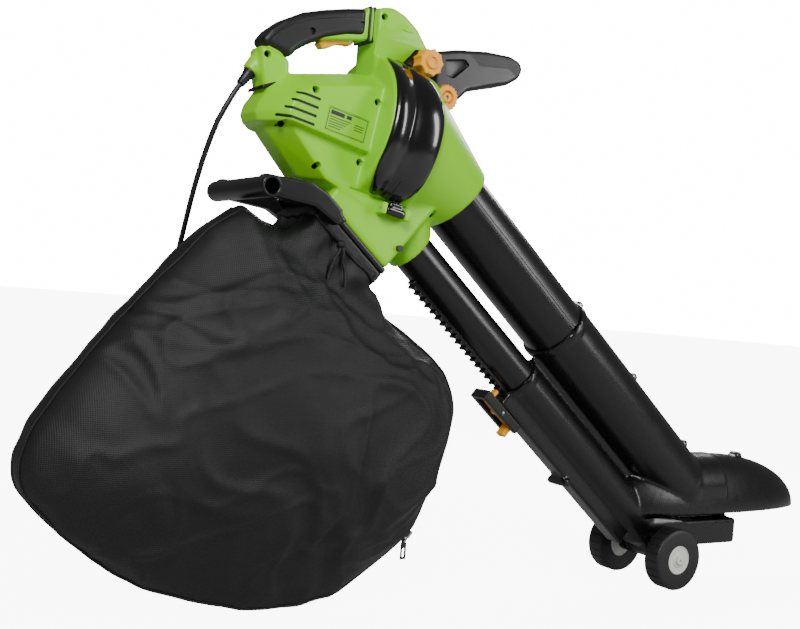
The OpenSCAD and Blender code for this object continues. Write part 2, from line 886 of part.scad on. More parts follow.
module blower_duct(less, reach) {
    r = blower_lower_r - less;
    tube_frame() translate([tube_gap, 0, collar_at - less])
        cylinder(r = r, h = blower_len + less);
    translate(blower_corner) {
        sphere(r = r + 2 - less / 3);
        rotate([0, 90, 0]) cylinder(r = r, h = 50);
        translate([40 + less, less - 37, less - blower_lower_r + 1])
            cube([jet_len - 40 - less + reach, 74 - 2 * less, 40 - 2 * less]);
    }
}

module rack_channel() {
    tube_frame() difference() {
        translate([tube_gap + blower_r - 4, -15, collar_at]) cube([26, 30, channel_len]);
        translate([tube_gap, 0, collar_at - 1]) cylinder(r = blower_lower_r - 1, h = channel_len + 2);
    }
}

module lower_solid() {
    difference() {
        suction_duct(0);
        translate([suction_corner[0] + mouth_from, -big, suction_corner[2] - mouth_drop - big])
            cube([big, 2 * big, big]);
    }
    blower_duct(0, 0);
    rack_channel();
    tube_frame() translate([suction_r, -3, collar_at + 4])
        cube([tube_gap - suction_r - blower_r, 6, lower_len - 30]);
    translate([blower_corner[0] + 60, -22, blower_corner[2] + 6]) cube([jet_len - 64, 44, 14]);
    crosswise(9, track - 2 * wheel_w - 3, [axle_x, 0, axle_z]);
    for (side = [-1, 1]) translate([axle_x - 8, side * 20 - 3, axle_z]) cube([16, 6, 14]);
    for (s = LUGS) screw_lug(s);
    crosswise(7, 18, suction_corner + [136, 0, suction_lower_r - 5]);
    tube_frame() translate([tube_gap + blower_r + 26, 0, collar_at + 172]) rotate([90, 0, 0])
        cylinder(r = 6, h = 40, center = true);
}

module lower_rooms() {
    suction_duct(lower_wall);
    blower_duct(lower_wall, 10);
    tube_frame() {
        translate([tube_gap + 10, -8 - slide_gap, collar_at - 1])
            cube([blower_r + slide_gap, 16 + 2 * slide_gap, channel_len - 8]);
    }
    crosswise(axle_r + fit, 200, [axle_x, 0, axle_z]);
}

module lower_shell(side) {
    color(black) half(side) difference() {
        lower_solid();
        lower_rooms();
    }
}

module lower_shell_right() {
    lower_shell(-1);
}

module lower_shell_left() {
    lower_shell(1);
}

module lower_screws() {
    color(steel) {
        for (s = LUGS) tube_frame()
            translate([-suction_lower_r - 3, -9, s]) rotate([90, 0, 0]) cylinder(r = 3.5, h = 2);
    }
}

// ---- Latch ----

module latch_block() {
    color(black) tube_frame() difference() {
        translate([tube_gap + blower_r + 22.5, -17, collar_at - 30]) cube([14, 34, 78]);
        translate([tube_gap + blower_r + 20, -9, collar_at - 24]) cube([20, 18, 80]);
        translate([tube_gap + blower_r + 29, 0, collar_at + 10]) rotate([90, 0, 0])
            cylinder(r = 2, h = 50, center = true);
    }
}

module latch_lever() {
    color(yellow) tube_frame() difference() {
        union() {
            translate([tube_gap + blower_r + 26, -8, collar_at - 14]) cube([5, 16, 58]);
            translate([tube_gap + blower_r + 29, 0, collar_at + 10]) rotate([90, 0, 0])
                cylinder(r = 5, h = 16, center = true);
            translate([tube_gap + blower_r + 28, -8, collar_at + 36]) cube([20, 16, 8]);
            translate([tube_gap + blower_r + 9.4, -6, collar_at - 14]) cube([18, 12, 5]);
        }
        translate([tube_gap + blower_r + 29, 0, collar_at + 10]) rotate([90, 0, 0])
            cylinder(r = 2 + run_fit, h = 50, center = true);
    }
}

module latch_pin() {
    color(steel) tube_frame() translate([tube_gap + blower_r + 29, 0, collar_at + 10]) rotate([90, 0, 0])
        cylinder(r = 2, h = 33, center = true);
}

module latch_spring() {
    color(steel) tube_frame() translate([tube_gap + blower_r + 22.7, 0, collar_at + 32]) rotate([0, 90, 0])
        rotate_extrude() translate([3.5, 0]) circle(r = 0.5, $fn = 16);
}

// ---- Wheels ----

module axle() {
    color(steel) crosswise(axle_r, track - 4, [axle_x, 0, axle_z]);
}

module hub(side) {
    color("#d8d8cc") translate([axle_x, side * (track - wheel_w) / 2, axle_z]) rotate([90, 0, 0]) difference() {
        union() {
            cylinder(r = 22, h = wheel_w - 2, center = true);
            cylinder(r = 10, h = wheel_w, center = true);
        }
        cylinder(r = axle_r + run_fit, h = 100, center = true);
    }
}

module hub_right() {
    hub(-1);
}

module hub_left() {
    hub(1);
}

module tyre(side) {
    color("#18181a") translate([axle_x, side * (track - wheel_w) / 2, axle_z]) rotate([90, 0, 0]) difference() {
        cylinder(r = wheel_r, h = wheel_w, center = true, $fn = 96);
        cylinder(r = 22, h = 100, center = true);
        for (k = [0:11]) rotate([0, 0, k * 30]) translate([wheel_r - 1, -1, -wheel_w / 2 - 1])
            cube([4, 2, wheel_w + 2]);
    }
}

module tyre_right() {
    tyre(-1);
}

module tyre_left() {
    tyre(1);
}

module axle_caps() {
    color("#c8c8bc") for (side = [-1, 1]) translate([axle_x, side * (track / 2 + 0.4), axle_z])
        rotate([-side * 90, 0, 0]) difference() {
            cylinder(r = 7, h = 3);
            translate([0, 0, -1]) cylinder(r = 1.5, h = 5);
        }
}

housing_right();
housing_left();
housing_screws();
rating_plate();
grip_cover();
grip_rings();
trigger();
trigger_pin();
trigger_spring();
switch_body();
capacitor();
strain_relief();
cord();
plug();
stator();
armature();
motor_shaft();
front_bearing();
rear_bearing();
front_bracket();
rear_bracket();
brush_holders();
cooling_fan();
impeller();
impeller_nut();
access_cover();
cover_hinge_pin();
cover_knob();
cover_stud();
front_handle();
front_handle_grip();
handle_knob();
handle_bolt();
air_flap();
selector_lever();
bag_frame();
bag_collar();
bag();
draw_cord();
zip_tape();
zip_slider();
zip_pull();
suction_tube();
blower_tube();
lower_shell_right();
lower_shell_left();
lower_screws();
latch_block();
latch_lever();
latch_pin();
latch_spring();
axle();
hub_right();
hub_left();
tyre_right();
tyre_left();
axle_caps();
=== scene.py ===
import math

import bmesh
import bpy
from mathutils import Matrix, Vector, noise
from mathutils.bvhtree import BVHTree


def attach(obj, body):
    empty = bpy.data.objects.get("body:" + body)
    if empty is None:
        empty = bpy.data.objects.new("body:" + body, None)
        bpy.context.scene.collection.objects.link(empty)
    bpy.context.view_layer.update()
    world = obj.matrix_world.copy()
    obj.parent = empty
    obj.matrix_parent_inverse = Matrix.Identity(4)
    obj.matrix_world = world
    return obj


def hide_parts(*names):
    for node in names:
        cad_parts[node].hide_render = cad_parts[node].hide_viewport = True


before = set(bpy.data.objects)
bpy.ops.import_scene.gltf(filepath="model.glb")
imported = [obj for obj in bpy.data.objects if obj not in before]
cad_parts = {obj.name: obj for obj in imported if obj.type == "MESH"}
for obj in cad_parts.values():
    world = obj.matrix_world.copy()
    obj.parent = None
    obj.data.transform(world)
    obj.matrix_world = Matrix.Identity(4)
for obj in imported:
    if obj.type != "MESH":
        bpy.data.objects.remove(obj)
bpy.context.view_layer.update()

# Lengths are in millimetres while a piece is made, and finishPiece turns them to metres.
# The frames' Z runs along the motor and down the tubes, and an axis is a place in X and Z.
motorFrame = Matrix.Translation((-205, 0, 605)) @ Matrix.Rotation(math.radians(100), 4, "Y")
tubeFrame = Matrix.Translation((-86, 0, 533)) @ Matrix.Rotation(math.radians(130), 4, "Y")
knobAxis = (-186, 707)
handleAxis = (-145, 671)


# Camera and studio

camera = {"lens": 50, "sensor": 36, "place": (-0.964, -1.236, 0.399), "turn": -32.74, "lift": 0.60,
          "roll": 4.54}


def addCamera():
    data = bpy.data.cameras.new("studioCamera")
    data.lens = camera["lens"]
    data.sensor_width = camera["sensor"]
    obj = bpy.data.objects.new("studioCamera", data)
    bpy.context.scene.collection.objects.link(obj)
    obj.matrix_world = (
        Matrix.Translation(camera["place"])
        @ Matrix.Rotation(math.radians(camera["turn"]), 4, "Z")
        @ Matrix.Rotation(math.radians(90 - camera["lift"]), 4, "X")
        @ Matrix.Rotation(math.radians(camera["roll"]), 4, "Z")
    )
    bpy.context.scene.camera = obj


addCamera()
print("camera ready")


# Small mesh helpers

def joined(*parts):
    whole = bmesh.new()
    for part in parts:
        mesh = bpy.data.meshes.new("scratch")
        part.to_mesh(mesh)
        whole.from_mesh(mesh)
        bpy.data.meshes.remove(mesh)
        part.free()
    return whole


def scratchObject(part):
    mesh = bpy.data.meshes.new("scratch")
    part.to_mesh(mesh)
    obj = bpy.data.objects.new("scratch", mesh)
    bpy.context.scene.collection.objects.link(obj)
    return obj


def dropScratch(obj):
    mesh = obj.data
    bpy.data.objects.remove(obj)
    bpy.data.meshes.remove(mesh)


def modified(part, *modifiers):
    # Runs modifiers on a scratch object and gives the changed shape back
    obj = scratchObject(part)
    for kind, settings in modifiers:
        modifier = obj.modifiers.new(kind, kind)
        for key, value in settings.items():
            setattr(modifier, key, value)
    graph = bpy.context.evaluated_depsgraph_get()
    mesh = bpy.data.meshes.new_from_object(obj.evaluated_get(graph))
    part.clear()
    part.from_mesh(mesh)
    bpy.data.meshes.remove(mesh)
    dropScratch(obj)
    return part


def melted(part, voxel, smoothing, factor=0.5):
    # Joins overlapping shapes into one skin with filleted corners
    return modified(
        part,
        ("REMESH", {"mode": "VOXEL", "voxel_size": voxel}),
        ("SMOOTH", {"factor": factor, "iterations": smoothing}),
    )


def combined(part, tool, operation):
    tool = scratchObject(tool)
    part = modified(part, ("BOOLEAN", {"operation": operation, "object": tool, "solver": "MANIFOLD"}))
    dropScratch(tool)
    return part


def cutBy(part, *tools):
    for tool in tools:
        part = combined(part, tool, "DIFFERENCE")
        tool.free()
    return part


def rounded(part, width, segments=3, angle=30):
    sharp = [e for e in part.edges if e.is_manifold and e.calc_face_angle() > math.radians(angle)]
    bmesh.ops.bevel(part, geom=sharp, offset=width, offset_type="OFFSET", segments=segments, profile=0.5,
                    affect="EDGES", clamp_overlap=True, material=-1)
    return part


def plate(outline, low, high, width=0, segments=3, angle=30):
    # An outline in X and Z, from low to high along Y
    part = bmesh.new()
    face = part.faces.new([part.verts.new((x, low, z)) for x, z in outline])
    grown = bmesh.ops.extrude_face_region(part, geom=[face])["geom"]
    bmesh.ops.translate(part, vec=(0, high - low, 0),
                        verts=[g for g in grown if isinstance(g, bmesh.types.BMVert)])
    bmesh.ops.recalc_face_normals(part, faces=part.faces)
    return rounded(part, width, segments, angle) if width else part


def block(low, high, width=0, segments=3, matrix=None):
    part = bmesh.new()
    bmesh.ops.create_cube(part, size=1)
    bmesh.ops.scale(part, vec=[b - a for a, b in zip(low, high)], verts=part.verts)
    bmesh.ops.translate(part, vec=[(a + b) / 2 for a, b in zip(low, high)], verts=part.verts)
    if width:
        rounded(part, width, segments)
    if matrix:
        part.transform(matrix)
    return part


def rod(start, end, radius, endRadius=None, segments=64, matrix=None, width=0):
    # A cylinder or cone from one point to another
    start, end = Vector(start), Vector(end)
    part = bmesh.new()
    turn = (end - start).to_track_quat("Z", "Y").to_matrix().to_4x4()
    bmesh.ops.create_cone(part, cap_ends=True, segments=segments, radius1=radius,
                          radius2=radius if endRadius is None else endRadius, depth=(end - start).length,
                          matrix=Matrix.Translation((start + end) / 2) @ turn)
    if width:
        rounded(part, width)
    if matrix:
        part.transform(matrix)
    return part


def crossRod(place, near, far, radius, endRadius=None, **shape):
    # A rod along Y through a place in X and Z
    x, z = place
    return rod((x, near, z), (x, far, z), radius, endRadius, **shape)


def axialRod(away, low, high, radius, endRadius=None, **shape):
    # A rod along Z, some way out along X
    return rod((away, 0, low), (away, 0, high), radius, endRadius, **shape)


def ball(centre, size, segments=48):
    part = bmesh.new()
    bmesh.ops.create_uvsphere(part, u_segments=segments, v_segments=segments // 2, radius=1)
    bmesh.ops.scale(part, vec=size, verts=part.verts)
    bmesh.ops.translate(part, vec=centre, verts=part.verts)
    return part


def wrapped(*parts):
    # The tight skin round several shapes
    part = joined(*parts)
    hull = bmesh.ops.convex_hull(part, input=part.verts)
    spare = set(hull["geom_interior"] + hull["geom_unused"])
    bmesh.ops.delete(part, geom=[g for g in spare if isinstance(g, bmesh.types.BMVert)], context="VERTS")
    bmesh.ops.delete(part, geom=[f for f in part.faces if f not in set(hull["geom"])], context="FACES_ONLY")
    bmesh.ops.recalc_face_normals(part, faces=part.faces)
    return part


def spunRing(outline, start, end, steps, matrix):
    # An outline in radius and Z, turned about Z from one angle to the other, in degrees
    part = bmesh.new()
    face = part.faces.new([part.verts.new((r, 0, z)) for r, z in outline])
    part.transform(Matrix.Rotation(math.radians(start), 4, "Z"))
    full = end - start >= 360
    swept = part.edges[:] + part.verts[:] if full else part.faces[:] + part.edges[:] + part.verts[:]
    bmesh.ops.spin(part, geom=swept, cent=(0, 0, 0), axis=(0, 0, 1), angle=math.radians(end - start),
                   steps=steps, use_merge=full)
    if full:
        bmesh.ops.delete(part, geom=[face], context="FACES_ONLY")
        bmesh.ops.remove_doubles(part, verts=part.verts, dist=0.001)
    else:
        caps = [f for f in part.faces if len(f.verts) == len(outline)]
        if len(caps) < 2:
            part.faces.new([v for v in face.verts])
    bmesh.ops.recalc_face_normals(part, faces=part.faces)
    part.transform(matrix)
    return part


def cadCopy(node, weld=0.00001):
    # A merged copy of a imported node, in millimetres
    part = bmesh.new()
    part.from_mesh(bpy.data.objects[node].data)
    bmesh.ops.remove_doubles(part, verts=part.verts, dist=weld)
    part.transform(Matrix.Scale(1000, 4))
    return part


def finishPiece(name, part, material, body, stands=(), angle=35):
    part.transform(Matrix.Scale(0.001, 4))
    for face in part.faces:
        face.smooth = True
    for edge in part.edges:
        edge.smooth = not (edge.is_manifold and edge.calc_face_angle() > math.radians(angle))
    mesh = bpy.data.meshes.new(name)
    part.to_mesh(mesh)
    part.free()
    mesh.materials.append(material)
    obj = bpy.data.objects.new(name, mesh)
    bpy.context.scene.collection.objects.link(obj)
    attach(obj, body)
    if stands:
        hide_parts(*stands)
    return obj


# Materials

def hexColor(code):
    # An sRGB hex value as linear red, green, blue and alpha
    parts = [int(code[i:i + 2], 16) / 255 for i in (1, 3, 5)]
    return [c / 12.92 if c <= 0.04045 else ((c + 0.055) / 1.055) ** 2.4 for c in parts] + [1]


def addNode(material, kind, settings=None, inputs=None):
    node = material.node_tree.nodes.new(kind)
    for key, value in (settings or {}).items():
        setattr(node, key, value)
    for key, value in (inputs or {}).items():
        if isinstance(value, bpy.types.NodeSocket):
            material.node_tree.links.new(value, node.inputs[key])
        else:
            node.inputs[key].default_value = value
    return node


def newMaterial(name, **sockets):
    material = bpy.data.materials.new(name)
    material.use_nodes = True
    shader = material.node_tree.nodes["Principled BSDF"]
    for key, value in sockets.items():
        shader.inputs[key.replace("_", " ")].default_value = value
    return material, shader


def mouldedPlastic(name, colour, shade, roughness, grain, depth, **sockets):
    # Moulded plastic: an even body colour, slightly cloudy, over the fine grain of the mould
    material, shader = newMaterial(name, IOR=1.50, **sockets)
    link = material.node_tree.links.new
    place = addNode(material, "ShaderNodeTexCoord").outputs["Object"]
    cloud = addNode(material, "ShaderNodeTexNoise", inputs={"Vector": place, "Scale": 18, "Detail": 3})
    mix = addNode(material, "ShaderNodeMix", {"data_type": "RGBA"},
                  {"Factor": cloud.outputs["Fac"], "A": hexColor(colour), "B": hexColor(shade)})
    link(mix.outputs["Result"], shader.inputs["Base Color"])
    wear = addNode(material, "ShaderNodeTexNoise", inputs={"Vector": place, "Scale": 60, "Detail": 4})
    rough = addNode(material, "ShaderNodeMapRange",
                    inputs={"Value": wear.outputs["Fac"], "To Min": roughness - 0.05,
                            "To Max": roughness + 0.06})
    link(rough.outputs["Result"], shader.inputs["Roughness"])
    # Spark-eroded grain is 0.1 mm deep at most; it is drawn a little coarse so that it shows
    spark = addNode(material, "ShaderNodeTexNoise",
                    inputs={"Vector": place, "Scale": 1000 / grain, "Detail": 2})
    bump = addNode(material, "ShaderNodeBump",
                   inputs={"Height": spark.outputs["Fac"], "Strength": depth, "Distance": 0.0003})
    link(bump.outputs["Normal"], shader.inputs["Normal"])
    return material


def plainMetal(name, colour, roughness, grain, stretch=(1, 1, 1)):
    # Drawn or cast metal: fine streaks along the way it was worked
    material, shader = newMaterial(name, Base_Color=hexColor(colour), Metallic=1)
    link = material.node_tree.links.new
    place = addNode(material, "ShaderNodeTexCoord").outputs["Object"]
    turned = addNode(material, "ShaderNodeMapping", inputs={"Vector": place, "Scale": stretch})
    streak = addNode(material, "ShaderNodeTexNoise",
                     inputs={"Vector": turned.outputs["Vector"], "Scale": 1000 / grain, "Detail": 3})
    rough = addNode(material, "ShaderNodeMapRange",
                    inputs={"Value": streak.outputs["Fac"], "To Min": roughness - 0.08,
                            "To Max": roughness + 0.1})
    link(rough.outputs["Result"], shader.inputs["Roughness"])
    bump = addNode(material, "ShaderNodeBump",
                   inputs={"Height": streak.outputs["Fac"], "Strength": 0.2, "Distance": 0.0002})
    link(bump.outputs["Normal"], shader.inputs["Normal"])
    return material


def wovenCloth(name, colour, shade, thread, depth, sheen):
    # Coated woven polyester: crossing threads, a dull sheen and cloudy wear
    material, shader = newMaterial(name, IOR=1.5, Sheen_Weight=sheen, Sheen_Roughness=0.45)
    shader.inputs["Sheen Tint"].default_value = hexColor("#8a8a92")
    link = material.node_tree.links.new
    place = addNode(material, "ShaderNodeTexCoord").outputs["Object"]
    warp = addNode(material, "ShaderNodeTexWave", {"bands_direction": "X"},
                   {"Vector": place, "Scale": 314 / thread, "Distortion": 0.4, "Detail": 1})
    weft = addNode(material, "ShaderNodeTexWave", {"bands_direction": "Z"},
                   {"Vector": place, "Scale": 314 / thread, "Distortion": 0.4, "Detail": 1})
    weave = addNode(material, "ShaderNodeMath", {"operation": "MULTIPLY"},
                    {0: warp.outputs["Fac"], 1: weft.outputs["Fac"]})
    cloud = addNode(material, "ShaderNodeTexNoise", inputs={"Vector": place, "Scale": 9, "Detail": 6})
    tone = addNode(material, "ShaderNodeMath", {"operation": "MULTIPLY_ADD"},
                   {0: weave.outputs["Value"], 1: 0.5, 2: cloud.outputs["Fac"]})
    mix = addNode(material, "ShaderNodeMix", {"data_type": "RGBA"},
                  {"Factor": tone.outputs["Value"], "A": hexColor(colour), "B": hexColor(shade)})
    link(mix.outputs["Result"], shader.inputs["Base Color"])
    rough = addNode(material, "ShaderNodeMapRange",
                    inputs={"Value": cloud.outputs["Fac"], "To Min": 0.5, "To Max": 0.72})
    link(rough.outputs["Result"], shader.inputs["Roughness"])
    crease = addNode(material, "ShaderNodeTexNoise", inputs={"Vector": place, "Scale": 38, "Detail": 5})
    height = addNode(material, "ShaderNodeMath", {"operation": "MULTIPLY_ADD"},
                     {0: crease.outputs["Fac"], 1: 3.0, 2: weave.outputs["Value"]})
    bump = addNode(material, "ShaderNodeBump",
                   inputs={"Height": height.outputs["Value"], "Strength": depth, "Distance": 0.0008})
    link(bump.outputs["Normal"], shader.inputs["Normal"])
    return material


limeAbs = mouldedPlastic("limeAbsMoulded", "#8ee000", "#86d600", 0.36, 1.2, 0.10)
blackAbs = mouldedPlastic("blackAbsSatin", "#08080a", "#0e0e10", 0.33, 1.0, 0.15)
tubeAbs = mouldedPlastic("blackTubeSatin", "#070708", "#0c0c0e", 0.28, 1.4, 0.10)
glossAbs = mouldedPlastic("blackAbsPolished", "#050506", "#08080a", 0.2, 3.0, 0.04, Coat_Weight=0.6)
softGrip = mouldedPlastic("blackElastomerGrip", "#08080a", "#0e0e10", 0.44, 0.7, 0.35)
amberAbs = mouldedPlastic("amberAbsMoulded", "#fbaa00", "#f4a200", 0.38, 1.2, 0.10)
innerAbs = mouldedPlastic("darkNylonMoulded", "#26262a", "#2e2e32", 0.45, 1.2, 0.2)
hubAbs = mouldedPlastic("creamAbsMoulded", "#d8d8d0", "#ccccc2", 0.42, 1.2, 0.2)
tyreRubber = mouldedPlastic("blackTyreRubber", "#121214", "#1a1a1c", 0.5, 0.8, 0.4)
cordJacket = mouldedPlastic("blackCordJacket", "#0d0d0f", "#141416", 0.42, 0.6, 0.2)
labelFilm = mouldedPlastic("limeLabelFilm", "#8cd810", "#86d00c", 0.38, 2.0, 0.03)
filmYellow = mouldedPlastic("yellowFilm", "#caa63a", "#c09c34", 0.35, 2.0, 0.05)
darkSteel = plainMetal("blackOxideSteel", "#202022", 0.42, 0.8)
zincSteel = plainMetal("zincPlatedSteel", "#b9bcc0", 0.32, 0.8)
ironStack = plainMetal("laminatedIron", "#8d9196", 0.45, 0.7, (0.2, 1, 1))
castAlloy = plainMetal("castAluminium", "#a9acb0", 0.5, 1.0)
brassPlain = plainMetal("brassDrawn", "#c8a04e", 0.35, 0.8)
bagCloth = wovenCloth("blackWovenPolyester", "#030304", "#08080a", 2.2, 0.4, 0.03)
tapeCloth = wovenCloth("blackZipTape", "#040405", "#0a0a0b", 1.2, 0.4, 0.05)
print("materials ready")

# Mains lead: out of the gland, past the bar, and down the far side of the bag to its plug

lead = {"diameter": 0.007, "route": [
    (-421, 0, 646.5), (-427, 0, 637), (-433, 0, 626), (-439, 2, 613), (-445, 5, 598),
    (-450, 11, 577), (-454, 20, 551),
    (-456, 31, 525), (-456, 44, 500), (-455, 58, 475), (-454, 72, 450), (-453, 85, 425),
    (-452, 97, 400), (-451, 108, 375), (-450, 116, 350), (-449, 122, 325), (-448, 126, 300),
    (-448, 129, 275), (-448, 131, 250), (-448, 132, 225), (-448, 132, 200)]}


def makeLead():
    curve = bpy.data.curves.new("mainsLead", "CURVE")
    curve.dimensions = "3D"
    curve.bevel_depth = lead["diameter"] / 2
    curve.bevel_resolution = 4
    curve.use_fill_caps = True
    line = curve.splines.new("POLY")
    line.points.add(len(lead["route"]) - 1)
    for point, place in zip(line.points, lead["route"]):
        point.co = [c / 1000 for c in place] + [1]
    line.use_smooth = True
    curve.materials.append(cordJacket)
    obj = bpy.data.objects.new("mainsLead", curve)
    bpy.context.scene.collection.objects.link(obj)
    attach(obj, "machine")
    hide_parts("cord")


makeLead()


# Housing

housing = {"voxel": 2.0, "smoothing": 7, "seam": 0.12, "screws": [
    (-398, 683, 20), (-385, 599, 50), (-336, 556, 48), (-279, 567, 51), (-352, 643, 60),
    (-266, 642, 62), (-245, 757, 28), (-158, 517, 40)]}


def housingSkin():
    motorBody = wrapped(
        plate([(-406, 602), (-410, 612), (-407, 624), (-396, 641), (-366, 665), (-286, 679), (-240, 684),
               (-228, 575), (-278, 578), (-398, 600)], -22, 22),
        plate([(-380, 602), (-384, 612), (-376, 630), (-350, 648), (-286, 658), (-240, 662), (-228, 577),
               (-278, 580)], -62.2, 62.2))
    belly = wrapped(
        plate([(-398, 604), (-391, 592), (-344, 543), (-230, 502), (-220, 600)], -15, 15),
        plate([(-376, 604), (-369, 592), (-322, 540), (-230, 502), (-220, 600)], -51, 51))
    rearPost = plate([(-391, 618), (-398, 640), (-404, 665), (-407, 695), (-366, 683), (-366, 655),
                      (-372, 618)], -20, 20, 7, 4)
    pillar = plate([(-253, 650), (-253, 768), (-232, 773), (-212, 766), (-192, 752), (-172, 726), (-168, 690),
                    (-176, 640), (-250, 640)], -28, 28, 6, 4)
    flank = plate([(-236, 676), (-230, 740), (-212, 752), (-196, 738), (-184, 712), (-186, 676)], -30, 30, 2)
    core = plate([(-399, 686), (-394, 698), (-376, 722), (-351, 739), (-295, 755), (-252, 763),
                  (-252, 732), (-320, 718), (-353, 703), (-372, 690)], -14, 14)
    lip = plate([(-331, 714), (-318, 716.5), (-252, 728), (-252, 745), (-322, 732)], -15, 15, 3)
    flange = plate([(-264, 727), (-264, 768), (-250, 771), (-250, 726)], -17, 17, 3)
    drum = axialRod(0, -61, 17, 97, matrix=motorFrame, width=3, segments=96)
    upperLobe = wrapped(axialRod(0, 15, 18, 92, matrix=motorFrame),
                        axialRod(0, -30, -18, 54, matrix=tubeFrame))
    lowerLobe = wrapped(axialRod(30, 15, 18, 62, matrix=motorFrame),
                        axialRod(96, -30, -18, 34, matrix=tubeFrame))
    duct = block((40, -50, -168), (163, 50, -48), 6, matrix=tubeFrame)
    gland = rod((-398.4, 0, 679), (-411, 0, 661), 12, 11, width=1)
    parts = joined(motorBody, belly, rearPost, pillar, flank, core, lip, flange, drum, upperLobe, lowerLobe,
                   duct, gland)
    return melted(parts, housing["voxel"], housing["smoothing"])


def ventSlots():
    slots = []
    for row in range(4):
        low, high = row * 10.5 - 4.2, -172 - row * 5
        for near, far in ((-80, -10), (10, 80)):
            slots.append(block((low, near, high), (low + 3.4, far, -142), 1.5, matrix=motorFrame))
    return slots


def ventLiners():
    # Painted shade: dark plugs fill the slots a little below the skin, standing in for the shade inside them
    inside = wrapped(
        plate([(-404, 606), (-405, 622), (-366, 660), (-240, 680), (-228, 580), (-396, 604)], -21, 21),
        plate([(-380, 604), (-382, 612), (-374, 628), (-349, 645), (-240, 660), (-228, 580)], -60.6, 60.6))
    return combined(inside, joined(*ventSlots()), "INTERSECT")


def makeHousing():
    skin = housingSkin()
    rooms = [
        axialRod(0, -178, -139, 22, matrix=motorFrame),
        axialRod(0, -140, -43, 38, matrix=motorFrame),
        crossRod((-382, 668), -12.2, 12.2, 6.2),
        axialRod(0, -44, 16, 94, matrix=motorFrame, segments=96),
        wrapped(axialRod(0, 15, 17, 62, matrix=motorFrame), axialRod(0, -36, -34, 44.5, matrix=tubeFrame)),
        axialRod(0, -35, 6, 47.2, matrix=tubeFrame),
        axialRod(96, -35, 6, 28.2, matrix=tubeFrame),
        axialRod(96, -58, -18, 25.5, matrix=tubeFrame),
        block((56, -43, -110), (137, 43, -52), matrix=tubeFrame),
        block((136, -43, -161), (200, 43, -55), matrix=tubeFrame),
        plate([(-329, 700), (-327, 724), (-322, 736), (-268, 743), (-266, 716), (-290, 705)], -7.5, 7.5),
        crossRod((131, -54), -100, 100, 4.05, matrix=tubeFrame),
        crossRod(handleAxis, -42, 42, 21.5),
        crossRod(knobAxis, -18, -78, 5),
        rod((97, -61, -20.5), (97, -61, 6.5), 9, matrix=motorFrame),
        rod((-397.3, 0, 680.6), (-420.2, 0, 647.9), 8.2),
        block((-0.5, -64, -129.5), (29.5, -61.3, -71.5), 0.4, matrix=motorFrame),
    ]
    skin = cutBy(skin, *rooms, *ventSlots())
    for x, z, depth in housing["screws"]:
        skin = cutBy(skin, crossRod((x, z), 10 - depth, -depth - 60, 4.4, 5.4, segments=32),
                     crossRod((x, z), depth - 10, depth + 60, 4.4, 5.4, segments=32),
                     crossRod((x, z), -100, 100, 2.2, segments=24))
    lug = joined(crossRod(handleAxis, -10, 10, 18),
                 plate([(-190, 660), (-190, 712), (-145, 689), (-145, 653)], -10, 10))
    lug = melted(lug, 1.5, 3)
    lug = cutBy(lug, crossRod(handleAxis, -20, 20, 4.2), axialRod(0, -30, 30, 94, matrix=motorFrame))
    skin = combined(skin, lug, "UNION")
    lug.free()
    right = skin.copy()
    right = cutBy(right, block((-600, -housing["seam"], 400), (0, 200, 900)))
    window = spunRing([(86, -43), (140, -49), (140, 9), (86, 9)], -149, -38, 48, motorFrame)
    recess = spunRing([(97, -71), (140, -71), (140, 14), (97, 14)], -168, -30, 48, motorFrame)
    right = cutBy(right, window, recess, crossRod(knobAxis, -34.7, -95, 20))
    for low in (-28, 7):
        ear = block((89, -66, low), (103, -42, low + 7), 1, matrix=motorFrame)
        ear = cutBy(ear, rod((97, -61, -40), (97, -61, 40), 2.5, matrix=motorFrame),
                    axialRod(0, -60, 60, 94, matrix=motorFrame))
        right = combined(right, ear, "UNION")
        ear.free()
    left = cutBy(skin, block((-600, -200, 400), (0, housing["seam"], 900)))
    # The dark slot plugs are painted shade inside the vents
    finishPiece("ventLiners", ventLiners(), innerAbs, "machine")
    finishPiece("housingRight", right, limeAbs, "machine", ["housing_right"])
    finishPiece("housingLeft", left, limeAbs, "machine", ["housing_left"])
    print("housing ready")


makeHousing()


# Rear grip

rearGrip = {"halfWidth": 18, "outline": [
    (-405, 696), (-403, 704), (-395, 715), (-377, 730), (-351, 744), (-322, 753), (-295, 760), (-264, 766.5),
    (-264, 731), (-290, 727), (-322, 717), (-345, 704), (-358, 695), (-366, 684)]}


def makeRearGrip():
    wide = rearGrip["halfWidth"]
    grip = melted(plate(rearGrip["outline"], -wide, wide, 10, 5), 1.5, 6)
    seam = [(-397, 699), (-384, 713), (-368, 724), (-345, 734), (-320, 741), (-292, 747), (-262, 752)]
    strip = seam + [(x + 0.4, z + 1.3) for x, z in reversed(seam)]
    grip = cutBy(grip, plate(strip, -40, 1.2 - wide), plate(strip, wide - 1.2, 40),
                 plate([(-331, 696), (-329, 722), (-268, 738), (-264, 716), (-290, 704)], -7.8, 7.8))
    for x, z in [(-340, 722), (-270, 744)]:
        grip = cutBy(grip, crossRod((x, z), 3 - wide, -40, 4.2, 5, segments=32),
                     crossRod((x, z), wide - 3, 40, 4.2, 5, segments=32))
    finishPiece("rearGrip", grip, softGrip, "machine", ["grip_cover"], 50)
    rings = [plate([(x, 724.5), (x, 769.5), (x + 2.8, 770.2), (x + 2.8, 724)], -18.8, 18.8, 1.2)
             for x in (-261.5, -255.5)]
    rings.append(plate([(-402.5, 640), (-362, 657), (-362, 662), (-402.5, 645)], -21.6, 21.6, 1.8))
    finishPiece("gripRings", joined(*rings), softGrip, "machine", ["grip_rings"])
    trigger = melted(cadCopy("trigger"), 0.9, 4)
    finishPiece("triggerLever", trigger, amberAbs, "trigger", ["trigger"])
    print("rear grip ready")


makeRearGrip()


# Screws with a cross recess, all round headed

